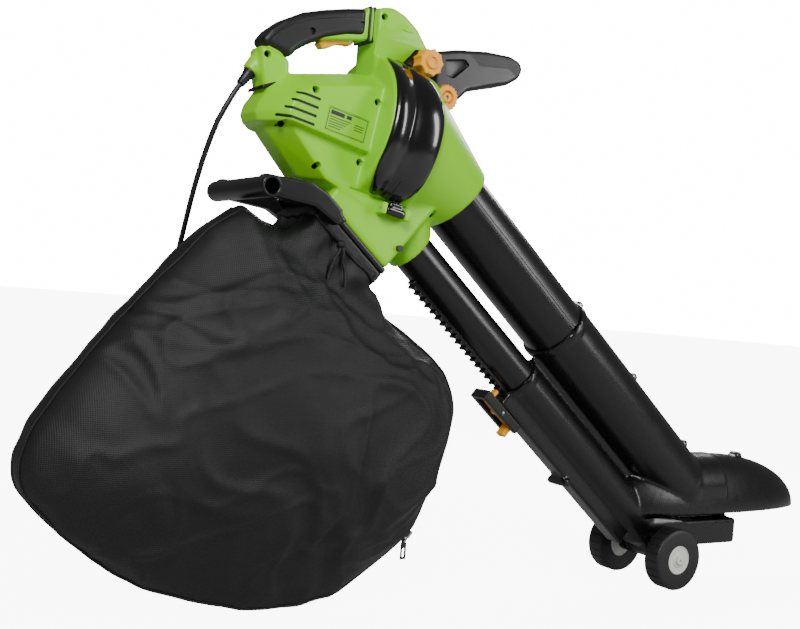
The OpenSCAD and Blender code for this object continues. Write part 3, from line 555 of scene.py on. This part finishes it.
def screwHead(place, radius, high=3, outward=-1):
    x, y, z = place
    head = crossRod((x, z), y, y + outward * high, radius, segments=40, width=0.6)
    for turn in (35, 125):
        blade = block((-radius * 0.62, -1.6, -0.55), (radius * 0.62, 1.6, 0.55))
        place = Matrix.Translation((x, y + outward * high, z))
        blade.transform(place @ Matrix.Rotation(math.radians(turn), 4, "Y"))
        head = cutBy(head, blade)
    return head


def makeScrews():
    heads = [screwHead((x, 9.9 - depth, z), 3.8) for x, z, depth in housing["screws"]]
    finishPiece("housingScrews", joined(*heads), darkSteel, "machine", ["housing_screws"])


makeScrews()


# Access cover: a thin crescent of two raised bands, hinged at its lower end

accessCover = {"start": -153, "end": -34, "steps": 56, "valley": -31, "bands": [
    (-59, 98.2), (-58.6, 100.6), (-56, 102.6), (-51, 103.4), (-45, 102.8), (-39, 100.8), (-34, 99),
    (-31, 98.6), (-28, 99.8), (-23, 102.6), (-17, 104.4), (-11, 105.2), (-4, 105.3), (3, 104.6), (8, 103.2),
    (11, 101.2), (12, 98.6)]}


def makeAccessCover():
    shell = bmesh.new()
    line = [shell.verts.new((r, 0, w)) for w, r in accessCover["bands"]]
    for a, b in zip(line, line[1:]):
        shell.edges.new((a, b))
    shell.transform(Matrix.Rotation(math.radians(accessCover["start"]), 4, "Z"))
    bmesh.ops.spin(shell, geom=shell.verts[:] + shell.edges[:], cent=(0, 0, 0), axis=(0, 0, 1),
                   dvec=(0, 0, 0), angle=math.radians(accessCover["end"] - accessCover["start"]),
                   steps=accessCover["steps"], use_merge=False, use_duplicate=False)
    bmesh.ops.remove_doubles(shell, verts=shell.verts, dist=0.001)
    for vert in shell.verts:
        turn = math.degrees(math.atan2(vert.co.y, vert.co.x))
        top = min(1, max(0, (-turn - 92) / 60))
        foot = min(1, max(0, (turn + 62) / 28))
        valley = accessCover["valley"]
        if vert.co.z > valley:
            vert.co.z = valley + (vert.co.z - valley) * (1 - 0.6 * top ** 2.2) * (1 - 0.25 * foot ** 2)
        else:
            vert.co.z = valley + (vert.co.z - valley) * (1 - 0.5 * foot ** 1.5)
        radius = math.hypot(vert.co.x, vert.co.y)
        lower = 98.2 + (radius - 98.2) * (1 - 0.7 * top ** 3) * (1 - 0.5 * foot ** 3)
        vert.co.x *= lower / radius
        vert.co.y *= lower / radius
    bmesh.ops.recalc_face_normals(shell, faces=shell.faces)
    if sum(f.normal.dot(Vector((f.calc_center_median().x, f.calc_center_median().y, 0)))
           for f in shell.faces) < 0:
        bmesh.ops.reverse_faces(shell, faces=shell.faces)
    shell.transform(motorFrame)
    shell = modified(shell, ("SOLIDIFY", {"thickness": 1.4, "offset": 0.9}),
                     ("SUBSURF", {"levels": 1, "render_levels": 1}))
    tab = plate([(-226, 686), (-222, 698), (-207, 714), (-199, 724), (-178, 724), (-167, 712), (-167, 700),
                 (-186, 686)], -34.5, -30.5, 1.5)
    knuckle = rod((97, -61, -20), (97, -61, 6), 6, matrix=motorFrame, width=0.8)
    leaf = block((86, -65, -17), (97, -58, 3), 2, matrix=motorFrame)
    ribs = [spunRing([(98, at), (105.4, at), (105.4, at + 1.8), (98, at + 1.8)], -54, -35, 8, motorFrame)
            for at in (-22, -13, -4)]
    neck = spunRing([(97.7, -36), (101, -36), (101, -8), (97.7, -8)], -166, -149, 10, motorFrame)
    fittings = melted(joined(tab, knuckle, leaf, neck, *ribs), 1.2, 3)
    fittings = cutBy(fittings, axialRod(0, -100, 100, 97.5, matrix=motorFrame, segments=128),
                     rod((97, -61, -60), (97, -61, 60), 2.56, matrix=motorFrame),
                     crossRod(knobAxis, 0, -60, 3.06), crossRod(knobAxis, -34.6, -90, 20))
    shell = cutBy(shell, crossRod(knobAxis, -34.6, -130, 20.5), crossRod(knobAxis, 0, -60, 3.06))
    finishPiece("accessCover", joined(shell, fittings), glossAbs, "cover", ["access_cover"],
                40)
    print("access cover ready")


makeAccessCover()


# Clamping knobs, the cover's with soft lobes and the handle's with teeth

coverKnob = {"lobes": 9, "radius": 16.8, "lobe": 1.0, "face": -35}
handleKnob = {"teeth": 20, "radius": 15.9, "tooth": 1.1, "face": -23}


def knobBody(size, waves, swing, low, high, centre, width):
    # A disc with a wavy edge about an axis along Y
    part = bmesh.new()
    made = bmesh.ops.create_circle(part, cap_ends=True, segments=160, radius=1)
    for vert in made["verts"]:
        turn = math.atan2(vert.co.y, vert.co.x)
        vert.co *= size + swing * math.cos(waves * turn) + 0.3 * swing * math.cos(2 * waves * turn)
    part.transform(Matrix.Rotation(math.radians(90), 4, "X"))
    grown = bmesh.ops.extrude_face_region(part, geom=part.faces[:])["geom"]
    bmesh.ops.translate(part, vec=(0, high - low, 0),
                        verts=[g for g in grown if isinstance(g, bmesh.types.BMVert)])
    bmesh.ops.translate(part, vec=(centre[0], low, centre[1]), verts=part.verts)
    bmesh.ops.recalc_face_normals(part, faces=part.faces)
    rims = [e for e in part.edges if e.is_manifold and e.calc_face_angle() > 1.2
            and abs(e.verts[0].co.y - e.verts[1].co.y) < 0.01]
    bmesh.ops.bevel(part, geom=rims, offset=width, offset_type="OFFSET", segments=3, profile=0.5,
                    affect="EDGES", clamp_overlap=True, material=-1)
    return part


def makeKnobs():
    face = coverKnob["face"]
    knob = melted(knobBody(coverKnob["radius"], coverKnob["lobes"], coverKnob["lobe"], face - 20, face,
                           knobAxis, 1.4), 0.6, 3)
    boss = crossRod(knobAxis, face - 18, face - 22.5, 9.5, 8.6, width=0.8)
    knob = cutBy(combined(knob, boss, "UNION"), crossRod(knobAxis, face - 20.5, face - 40, 6.5, width=0.4),
                 crossRod(knobAxis, face + 1, face - 14, 3))
    boss.free()
    finishPiece("coverKnob", knob, amberAbs, "cover_knob", ["cover_knob"])
    face = handleKnob["face"]
    knob = melted(knobBody(handleKnob["radius"], handleKnob["teeth"], handleKnob["tooth"], face - 13, face,
                           handleAxis, 0.8), 0.5, 1)
    knob = cutBy(knob, crossRod(handleAxis, face - 9, face - 30, 9, 10.5),
                 crossRod(handleAxis, face + 1, face - 10, 4.05))
    ring = combined(crossRod(handleAxis, face - 9.2, face - 12, 6, width=0.6),
                    crossRod(handleAxis, face - 5, face - 20, 3), "DIFFERENCE")
    finishPiece("handleKnob", joined(knob, ring), amberAbs, "handle_knob", ["handle_knob"])
    print("knobs ready")


makeKnobs()


# Front handle

frontHandle = {"halfWidth": 22, "outline": [
    (-160, 731), (-125, 740), (-75, 747), (-35, 748), (-18, 743), (-12, 733), (-18, 719), (-38, 707),
    (-70, 698), (-103, 687), (-124, 666), (-163, 672)]}


def makeFrontHandle():
    wide = frontHandle["halfWidth"]
    body = joined(plate(frontHandle["outline"], -wide, wide, 7, 4),
                  crossRod(handleAxis, -wide, wide, 20, width=2))
    body = melted(body, 1.7, 6)
    for side in (-1, 1):
        pocket = plate([(-144, 723), (-112, 729), (-104, 722), (-128, 700), (-140, 702)], 0, 12, 3)
        bmesh.ops.translate(pocket, vec=(0, side * wide - (4 if side > 0 else 8), 0), verts=pocket.verts)
        body = cutBy(body, pocket)
    zone = plate([(-160, 762), (5, 762), (5, 700), (-38, 729), (-88, 724), (-104, 737), (-160, 727)], -60, 60)
    zone = cutBy(zone, plate([(-170, 724), (-125, 732), (-75, 739), (-38, 739), (-27, 733), (-60, 727),
                              (-150, 717)], 4 - wide, wide - 4))
    pad = combined(body.copy(), zone, "INTERSECT")
    body = cutBy(body, zone, crossRod(handleAxis, -60, 60, 4.06), crossRod(handleAxis, -10.4, 10.4, 26),
                 plate([(-176, 655), (-176, 742), (-150, 722), (-120, 690), (-122, 655)], -10.4, 10.4))
    finishPiece("frontHandle", body, blackAbs, "front_handle", ["front_handle"])
    finishPiece("frontHandlePad", pad, softGrip, "front_handle", ["front_handle_grip"])
    print("front handle ready")


makeFrontHandle()


# Upper tubes

upperTubes = {"suction": 47, "blower": 28, "apart": 96, "wall": 2.5, "end": 296, "pitch": 12}


def tubeShell(radius, wall, low, high, away=0):
    return spunRing([(radius - wall, low), (radius - 0.8, low), (radius, low + 0.8), (radius, high - 0.8),
                     (radius - 0.8, high), (radius - wall, high)], 0, 360, 128,
                     tubeFrame @ Matrix.Translation((away, 0, 0)))


def makeUpperTubes():
    suction = tubeShell(upperTubes["suction"], upperTubes["wall"], -34, upperTubes["end"])
    for side in (-1, 1):
        for at in (-3.2, 1.8):
            suction = cutBy(suction, block((at, side * 47 - 0.8, -40), (at + 1.4, side * 47 + 0.8, 300),
                                           matrix=tubeFrame))
    finishPiece("suctionTube", suction, tubeAbs, "machine", ["suction_tube"])
    blower = tubeShell(upperTubes["blower"], upperTubes["wall"], -34, upperTubes["end"], upperTubes["apart"])
    strip = block((120.5, -7.9, 14), (127.6, 7.9, upperTubes["end"]), 1, matrix=tubeFrame)
    teeth = [block((126, -6.9, at), (132, 6.9, at + 4), 0.9, 2, matrix=tubeFrame)
             for at in range(18, upperTubes["end"] - 4, upperTubes["pitch"])]
    finishPiece("blowerTube", joined(blower, strip, *teeth), tubeAbs, "machine", ["blower_tube"])
    print("upper tubes ready")


makeUpperTubes()


# Lower section: two ducts in one moulding, with a hooded mouth and a flat jet

lowerSection = {"voxel": 2.2, "smoothing": 5, "seam": 0.12, "lugs": (246, 404, 564)}
suctionCorner = tubeFrame @ Vector((0, 0, 600))
blowerCorner = tubeFrame @ Vector((96, 0, 581))
axlePlace = (blowerCorner.x + 17, blowerCorner.z - 40)


def lowerSkin():
    sx, _, sz = suctionCorner
    bx, _, bz = blowerCorner
    hood = cutBy(ball((440, 0, 107), (215, 50, 89), 64), block((200, -60, 0), (700, 60, 107)))
    parts = [
        axialRod(0, 236, 600, 50, matrix=tubeFrame, segments=96),
        axialRod(0, 236, 247, 51.8, matrix=tubeFrame, segments=96),
        ball(suctionCorner, (51, 51, 51)),
        rod(suctionCorner, (440, 0, sz), 50, segments=96),
        hood,
        axialRod(96, 236, 581, 31, matrix=tubeFrame),
        axialRod(96, 236, 246, 33, matrix=tubeFrame),
        ball(blowerCorner, (32, 32, 32)),
        wrapped(rod((bx, 0, bz), (bx + 8, 0, bz), 31),
                block((bx + 62, -37, bz - 30), (bx + 66, 37, bz + 10))),
        block((bx + 60, -37, bz - 30), (bx + 183.5, 37, bz + 10), 4),
        block((120, -15, 236), (146, 15, 562), 3, matrix=tubeFrame),
        block((40, -3, 240), (72, 3, 575), matrix=tubeFrame),
        block((bx + 30, -20, bz + 4), (bx + 178, 20, bz + 24), 3),
        crossRod(axlePlace, -46, 46, 9),
        plate([(axlePlace[0] - 11, axlePlace[1] - 4), (axlePlace[0] - 26, axlePlace[1] + 24),
               (axlePlace[0] + 30, axlePlace[1] + 16), (axlePlace[0] + 9, axlePlace[1] - 4)], -24, 24, 3),
        crossRod((sx + 136, sz + 44), -9, 9, 7),
        crossRod((150, 408), -20, 20, 6, matrix=tubeFrame),
        block((140, -14, 400), (150, 14, 416), matrix=tubeFrame),
    ]
    parts += [crossRod((-53, at), -9, 9, 7, matrix=tubeFrame) for at in lowerSection["lugs"]]
    parts += [block((-53, -9, at - 7), (-46, 9, at + 7), matrix=tubeFrame) for at in lowerSection["lugs"]]
    return melted(joined(*parts), lowerSection["voxel"], lowerSection["smoothing"])


def makeLowerSection():
    sz = suctionCorner.z
    bx, _, bz = blowerCorner
    skin = lowerSkin()
    hoodRoom = cutBy(ball((440, 0, 107), (212, 47.2, 86.4), 64), block((200, -60, 0), (700, 60, 100)))
    skin = cutBy(skin,
                 axialRod(0, 228, 600, 47.4, matrix=tubeFrame, segments=96),
                 ball(suctionCorner, (48, 48, 48)), rod(suctionCorner, (442, 0, sz), 47.4, segments=96),
                 hoodRoom, axialRod(96, 228, 581, 28.4, matrix=tubeFrame),
                 ball(blowerCorner, (29.2, 29.2, 29.2)),
                 wrapped(rod((bx, 0, bz), (bx + 8, 0, bz), 28.4),
                         block((bx + 62, -34.4, bz - 27.4), (bx + 66, 34.4, bz + 7.4))),
                 block((bx + 60, -34.4, bz - 27.4), (bx + 200, 34.4, bz + 7.4), 2),
                 block((106, -8.4, 228), (134.4, 8.4, 554), matrix=tubeFrame),
                 crossRod(axlePlace, -100, 100, 4.2))
    for at in lowerSection["lugs"]:
        skin = cutBy(skin, crossRod((-53, at), -9.5, -7, 4, matrix=tubeFrame, segments=32),
                     crossRod((-53, at), 7, 12, 4, matrix=tubeFrame, segments=32))
    right = cutBy(skin.copy(), block((-300, -lowerSection["seam"], -50), (800, 200, 700)))
    left = cutBy(skin, block((-300, -200, -50), (800, lowerSection["seam"], 700)))
    finishPiece("lowerShellRight", right, tubeAbs, "lower_section", ["lower_shell_right"])
    finishPiece("lowerShellLeft", left, tubeAbs, "lower_section", ["lower_shell_left"])
    heads = [screwHead(tubeFrame @ Vector((-53, -7, at)), 3.5, 2.4) for at in lowerSection["lugs"]]
    finishPiece("lowerScrews", joined(*heads), zincSteel, "lower_section", ["lower_screws"])
    print("lower section ready")


makeLowerSection()


# Wheels

wheel = {"middle": 61.5, "cap": 76.4}


def wheelFrame(side, away=wheel["middle"]):
    # Puts Z outward along the axle
    place = Matrix.Translation((axlePlace[0], side * away, axlePlace[1]))
    return place @ Matrix.Rotation(math.radians(-90 * side), 4, "X")


def makeWheel(side, name):
    tyre = spunRing([(22, -14.2), (40, -14.5), (43.4, -14), (45.3, -12.6), (46, -10.6), (46, 0), (46, 10.6),
                     (45.3, 12.6), (43.4, 14), (40, 14.5), (22, 14.2)], 0, 360, 144, Matrix.Identity(4))
    tread = []
    for face in tyre.faces:
        x, y = face.calc_center_median().xy
        if math.hypot(x, y) > 45.5 and round(math.degrees(math.atan2(y, x)) / 2.5 - 0.5) % 6 == 0:
            tread.append(face)
    bmesh.ops.inset_region(tyre, faces=tread, thickness=0.3, depth=-0.9)
    tyre.transform(wheelFrame(side))
    finishPiece("tyre" + name, tyre, tyreRubber, "wheel_" + name.lower(), ["tyre_" + name.lower()])
    hub = spunRing([(4.05, -13.5), (10, -13.5), (22, -12.6), (22, 12.4), (21.2, 13.6), (19.8, 13.9),
                    (19, 13.1), (11.4, 12.9), (10.4, 14.3), (9.8, 14.5), (4.05, 14.5)],
                   0, 360, 96, wheelFrame(side))
    finishPiece("hub" + name, hub, hubAbs, "wheel_" + name.lower(), ["hub_" + name.lower()], 25)


def makeWheels():
    makeWheel(-1, "Right")
    makeWheel(1, "Left")
    caps = []
    for side in (-1, 1):
        cap = spunRing([(1.5, 1.4), (5.6, 0), (6.6, 0.2), (7, 1), (6.8, 2), (5.4, 3), (1.9, 3), (1.5, 2.6)],
                       0, 360, 64, wheelFrame(side, wheel["cap"]))
        caps.append(cap)
    finishPiece("axleCaps", joined(*caps), hubAbs, "lower_section", ["axle_caps"])
    print("wheels ready")


makeWheels()


# Bag frame, latch, selector and small fittings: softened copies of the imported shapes

softened = [
    ("bagFrame", "bag_frame", blackAbs, "machine", "black_plastic", 1.5, 3),
    ("bagCollar", "bag_collar", softGrip, "machine", "collar_rubber", 1.4, 3),
    ("latchBlock", "latch_block", blackAbs, "lower_section", "black_plastic", 0.9, 3),
    ("latchLever", "latch_lever", amberAbs, "latch_lever", "yellow_plastic", 0.8, 3),
    ("selectorLever", "selector_lever", blackAbs, "air_flap", "black_plastic", 0.8, 3),
    ("strainRelief", "strain_relief", softGrip, "machine", "soft_black", 0.6, 2),
    ("plugBody", "plug", cordJacket, "machine", "cord_black", 0.8, 2),
    ("ratingPlate", "rating_plate", labelFilm, "machine", "label", 0.25, 1),
    ("zipSlider", "zip_slider", zincSteel, "machine", "zip_plastic", 0.35, 2),
    ("zipPull", "zip_pull", innerAbs, "zip_pull", "zip_plastic", 0.4, 3),
]


def makePrint():
    # A plain printed border and bars, with nothing to read
    marks = [((1, -128), (1.7, -73)), ((27.3, -128), (28, -73)), ((1, -128), (28, -127.3)),
             ((1, -73.7), (28, -73)), ((3.4, -125), (8.4, -106)), ((3.6, -103), (8, -96))]
    marks += [((11 + row * 3, -125), (11.9 + row * 3, -96 - row * 3)) for row in range(5)]
    marks += [((11 + row * 3, -90), (11.9 + row * 3, -77)) for row in range(3)]
    bars = [block((a[0], -62.15, a[1]), (b[0], -61.8, b[1]), matrix=motorFrame) for a, b in marks]
    finishPiece("ratingPrint", joined(*bars), innerAbs, "machine", [])


makePrint()


def makeSoftened():
    for name, node, material, body, slot, voxel, smoothing in softened:
        finishPiece(name, melted(cadCopy(node), voxel, smoothing), material, body, [node], 50)
    print("small fittings ready")


makeSoftened()

# Collection bag: two panels and a narrow edge strip, filled out, gathered at its neck

bag = {"centre": (-350, 225), "edge": 13, "half": 100, "voxel": 4.6, "smoothing": 10, "outline": [
    (-407, 503), (-453, 471), (-493, 424), (-537, 377), (-579, 323), (-613, 277), (-640, 234), (-651, 201),
    (-651, 179), (-643, 157), (-594, 107), (-536, 64), (-492, 41), (-435, 22), (-369, 8), (-299, 6),
    (-243, 17), (-146, 86), (-133, 104), (-107, 150), (-82, 217), (-73, 259), (-81, 286), (-97, 311),
    (-127, 336), (-148, 345), (-200, 384), (-232, 400)]}
zipper = {"from": (-143, 84), "to": (-80, 222), "pitch": 3.2}


def strand(points, radius, closed=False):
    # A round cord along a row of points
    curve = bpy.data.curves.new("scratch", "CURVE")
    curve.dimensions = "3D"
    curve.bevel_depth = radius
    curve.bevel_resolution = 3
    curve.use_fill_caps = True
    line = curve.splines.new("POLY")
    line.points.add(len(points) - 1)
    for point, place in zip(line.points, points):
        point.co = list(place) + [1]
    line.use_cyclic_u = closed
    obj = bpy.data.objects.new("scratch", curve)
    bpy.context.scene.collection.objects.link(obj)
    mesh = bpy.data.meshes.new_from_object(obj.evaluated_get(bpy.context.evaluated_depsgraph_get()))
    part = bmesh.new()
    part.from_mesh(mesh)
    bpy.data.meshes.remove(mesh)
    bpy.data.objects.remove(obj)
    bpy.data.curves.remove(curve)
    bmesh.ops.remove_doubles(part, verts=part.verts, dist=0.001)
    bmesh.ops.recalc_face_normals(part, faces=part.faces)
    return part


def pillow():
    part = bmesh.new()
    cx, cz = bag["centre"]
    for share in (1, 0.97, 0.92, 0.85, 0.76, 0.65, 0.5, 0.3, 0.1):
        deep = bag["edge"] + (bag["half"] - bag["edge"]) * (1 - share ** 2.6) ** 0.62
        for x, z in bag["outline"]:
            low = min(1, 0.55 + max(0, z) / 260)
            for side in (-1, 1):
                part.verts.new((cx + (x - cx) * share, side * deep * low, cz + (z - cz) * share))
    return wrapped(part)


def foldDepth(place):
    # How far the cloth stands out at a place: gathers below the neck, long folds, and small creases
    x, y, z = place
    local = tubeFrame.inverted() @ place
    turn = math.atan2(local.y, local.z + 108)
    below = max(0, local.x - 178)
    rise = 5.5 * math.sin(11 * turn + 2.2 * noise.noise(place * 0.02))
    gather = rise * math.exp(-below / 62) * min(1, below / 12)
    drift = noise.noise(Vector((x * 0.006, y * 0.006, z * 0.006))) * 2.4
    wave = noise.noise(Vector((x * 0.011 + z * 0.009 + drift, y * 0.012, z * 0.004 - x * 0.003)))
    ridge = 1 - min(1, abs(wave) * 5)
    cross = noise.noise(Vector((x * 0.006 - z * 0.013, y * 0.01 + 7, z * 0.012 + drift)))
    crease = 1 - min(1, abs(cross) * 6)
    inner = min(1, abs(y) / 46)
    small = noise.noise(Vector((x * 0.045, y * 0.03, z * 0.03))) * 1.3
    return gather + inner * (5.5 * ridge ** 2 + 4.5 * crease ** 2 - 4 + 9 * wave) + small


def makeBag():
    neck = wrapped(block((173, -51, -168), (184, 51, -48), matrix=tubeFrame),
                   block((190, -44, -160), (196, 44, -56), matrix=tubeFrame))
    throat = wrapped(block((186, -44, -160), (196, 44, -56), matrix=tubeFrame),
                     crossRod((-356, 424), -52, 52, 40),
                     crossRod((-256, 372), -52, 52, 36))
    body = melted(joined(pillow(), neck, throat), bag["voxel"], bag["smoothing"])
    body.normal_update()
    for vert in body.verts:
        vert.co += vert.normal * foldDepth(vert.co)
    for step in range(3):
        bmesh.ops.smooth_vert(body, verts=body.verts, factor=0.4, use_axis_x=True, use_axis_y=True,
                              use_axis_z=True)
    for vert in body.verts:
        vert.co.z = max(vert.co.z, 2)
    body.normal_update()
    surface = BVHTree.FromBMesh(body)

    def onCloth(place, lift):
        spot, normal, _, _ = surface.find_nearest(Vector(place))
        return spot + normal * lift

    edge = [Vector((a[0], 0, a[1])).lerp(Vector((b[0], 0, b[1])), t / 6)
            for a, b in zip(bag["outline"], bag["outline"][1:]) for t in range(6)]
    seams = []
    for side in (-1, 1):
        path = [onCloth((p.x * 1.01, side * (bag["edge"] + 2), p.z), 0.7) for p in edge]
        path = [a.lerp(b, 0.5) for a, b in zip(path, path[1:])]
        seams.append(strand(path, 1.7))
    loop = []
    for step in range(96):
        turn = math.radians(step * 3.75)
        reach = 1 / max(abs(math.cos(turn)) / 60, abs(math.sin(turn)) / 51)
        loop.append(onCloth(tubeFrame @ Vector((187, math.sin(turn) * reach, math.cos(turn) * reach - 108)),
                            1.2))
    tie = onCloth((-300, -60, 468), 4)
    knot = [ball(tie, (6, 5, 5), 24)]
    for swing, drop in ((-16, 44), (9, 52)):
        tail = [tie + Vector((swing * t, -6 * math.sin(3 * t), -drop * t * (0.4 + 0.6 * t)))
                for t in [i / 12 for i in range(13)]]
        knot.append(strand([onCloth(p, 2.4) for p in tail], 2))
    cordage = joined(strand(loop, 2.2, True), *knot)
    finishPiece("drawCord", cordage, tapeCloth, "machine", ["draw_cord"], 60)

    start, end = Vector((zipper["from"][0], 0, zipper["from"][1])), Vector((zipper["to"][0], 0,
                                                                            zipper["to"][1]))
    steps = int((end - start).length / zipper["pitch"])
    tape = bmesh.new()
    rows = [[tape.verts.new(onCloth(start.lerp(end, i / steps) + Vector((0, y, 0)), 1.0))
             for y in (-11, -8, -5, -2, 2, 5, 8, 11)]
            for i in range(steps + 1)]
    for low, high in zip(rows, rows[1:]):
        for i in range(7):
            tape.faces.new((low[i], low[i + 1], high[i + 1], high[i]))
    bmesh.ops.recalc_face_normals(tape, faces=tape.faces)
    tape = modified(tape, ("SOLIDIFY", {"thickness": 0.8, "offset": 0}))
    teeth = []
    for i in range(steps * 2):
        at = onCloth(start.lerp(end, i / steps / 2), 2.0)
        ahead = onCloth(start.lerp(end, (i + 1) / steps / 2), 2.0)
        turn = (ahead - at).to_track_quat("X", "Z").to_matrix().to_4x4()
        shift = 1.1 if i % 2 else -1.1  # odd teeth sit on one side, even teeth on the other
        teeth.append(block((-0.5, shift - 1.6, -1), (0.5, shift + 1.6, 1), 0.3, 1,
                           Matrix.Translation(at) @ turn))
    finishPiece("zipTape", joined(tape, *teeth), tapeCloth, "machine", ["zip_tape"])

    shell = finishPiece("bagCloth", body, bagCloth, "machine", ["bag"], 180)
    finishPiece("bagPiping", joined(*seams), tapeCloth, "machine", [], 180)
    print("bag ready")


makeBag()


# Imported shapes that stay, with their own finishes

finishes = {
    "capacitor": filmYellow, "switch_body": innerAbs, "cooling_fan": innerAbs, "impeller": innerAbs,
    "air_flap": innerAbs, "stator": ironStack, "armature": ironStack, "front_bracket": castAlloy,
    "rear_bracket": castAlloy, "brush_holders": brassPlain,
}
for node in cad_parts:
    kept = bpy.data.objects.get(node)
    if kept and kept.material_slots:
        kept.material_slots[0].material = finishes.get(node, zincSteel)


# Studio

def makeStudio():
    floor = bmesh.new()
    bmesh.ops.create_grid(floor, x_segments=1, y_segments=1, size=30)
    mesh = bpy.data.meshes.new("studioFloor")
    floor.to_mesh(mesh)
    floor.free()
    paint, shader = newMaterial("palePaper", Base_Color=hexColor("#a8a8a8"), Roughness=0.9,
                                Emission_Color=(1, 1, 1, 1))
    direct = addNode(paint, "ShaderNodeLightPath")
    glow = addNode(paint, "ShaderNodeMapRange",
                   inputs={"Value": direct.outputs["Is Camera Ray"], "To Min": 0.08, "To Max": 9.0})
    paint.node_tree.links.new(glow.outputs["Result"], shader.inputs["Emission Strength"])
    mesh.materials.append(paint)
    obj = bpy.data.objects.new("studioFloor", mesh)
    bpy.context.scene.collection.objects.link(obj)
    world = bpy.data.worlds.new("studioWorld")
    world.use_nodes = True
    soft = world.node_tree.nodes["Background"]
    soft.inputs["Color"].default_value = (1, 1, 1, 1)
    soft.inputs["Strength"].default_value = 0.15
    bright = addNode(world, "ShaderNodeBackground", inputs={"Color": (1, 1, 1, 1), "Strength": 16.0})
    seen = addNode(world, "ShaderNodeLightPath")
    both = addNode(world, "ShaderNodeMixShader", inputs={
        0: seen.outputs["Is Camera Ray"], 1: soft.outputs["Background"], 2: bright.outputs["Background"]})
    world.node_tree.links.new(both.outputs["Shader"], world.node_tree.nodes["World Output"].inputs["Surface"])
    bpy.context.scene.world = world
    for name, place, target, size, power in [
        ("keyLight", (-1.6, -1.9, 1.9), (-0.1, 0, 0.4), (1.0, 1.0), 72),
        ("rimLight", (1.4, 1.3, 1.7), (-0.1, 0, 0.4), (1.4, 0.8), 45),
        ("fillLight", (1.5, -1.7, 1.2), (0, 0, 0.4), (0.5, 1.6), 30),
    ]:
        light = bpy.data.lights.new(name, "AREA")
        light.shape = "RECTANGLE"
        light.size, light.size_y = size
        light.energy = power
        obj = bpy.data.objects.new(name, light)
        bpy.context.scene.collection.objects.link(obj)
        turn = (Vector(place) - Vector(target)).to_track_quat("Z", "Y").to_matrix().to_4x4()
        obj.matrix_world = Matrix.Translation(place) @ turn


makeStudio()
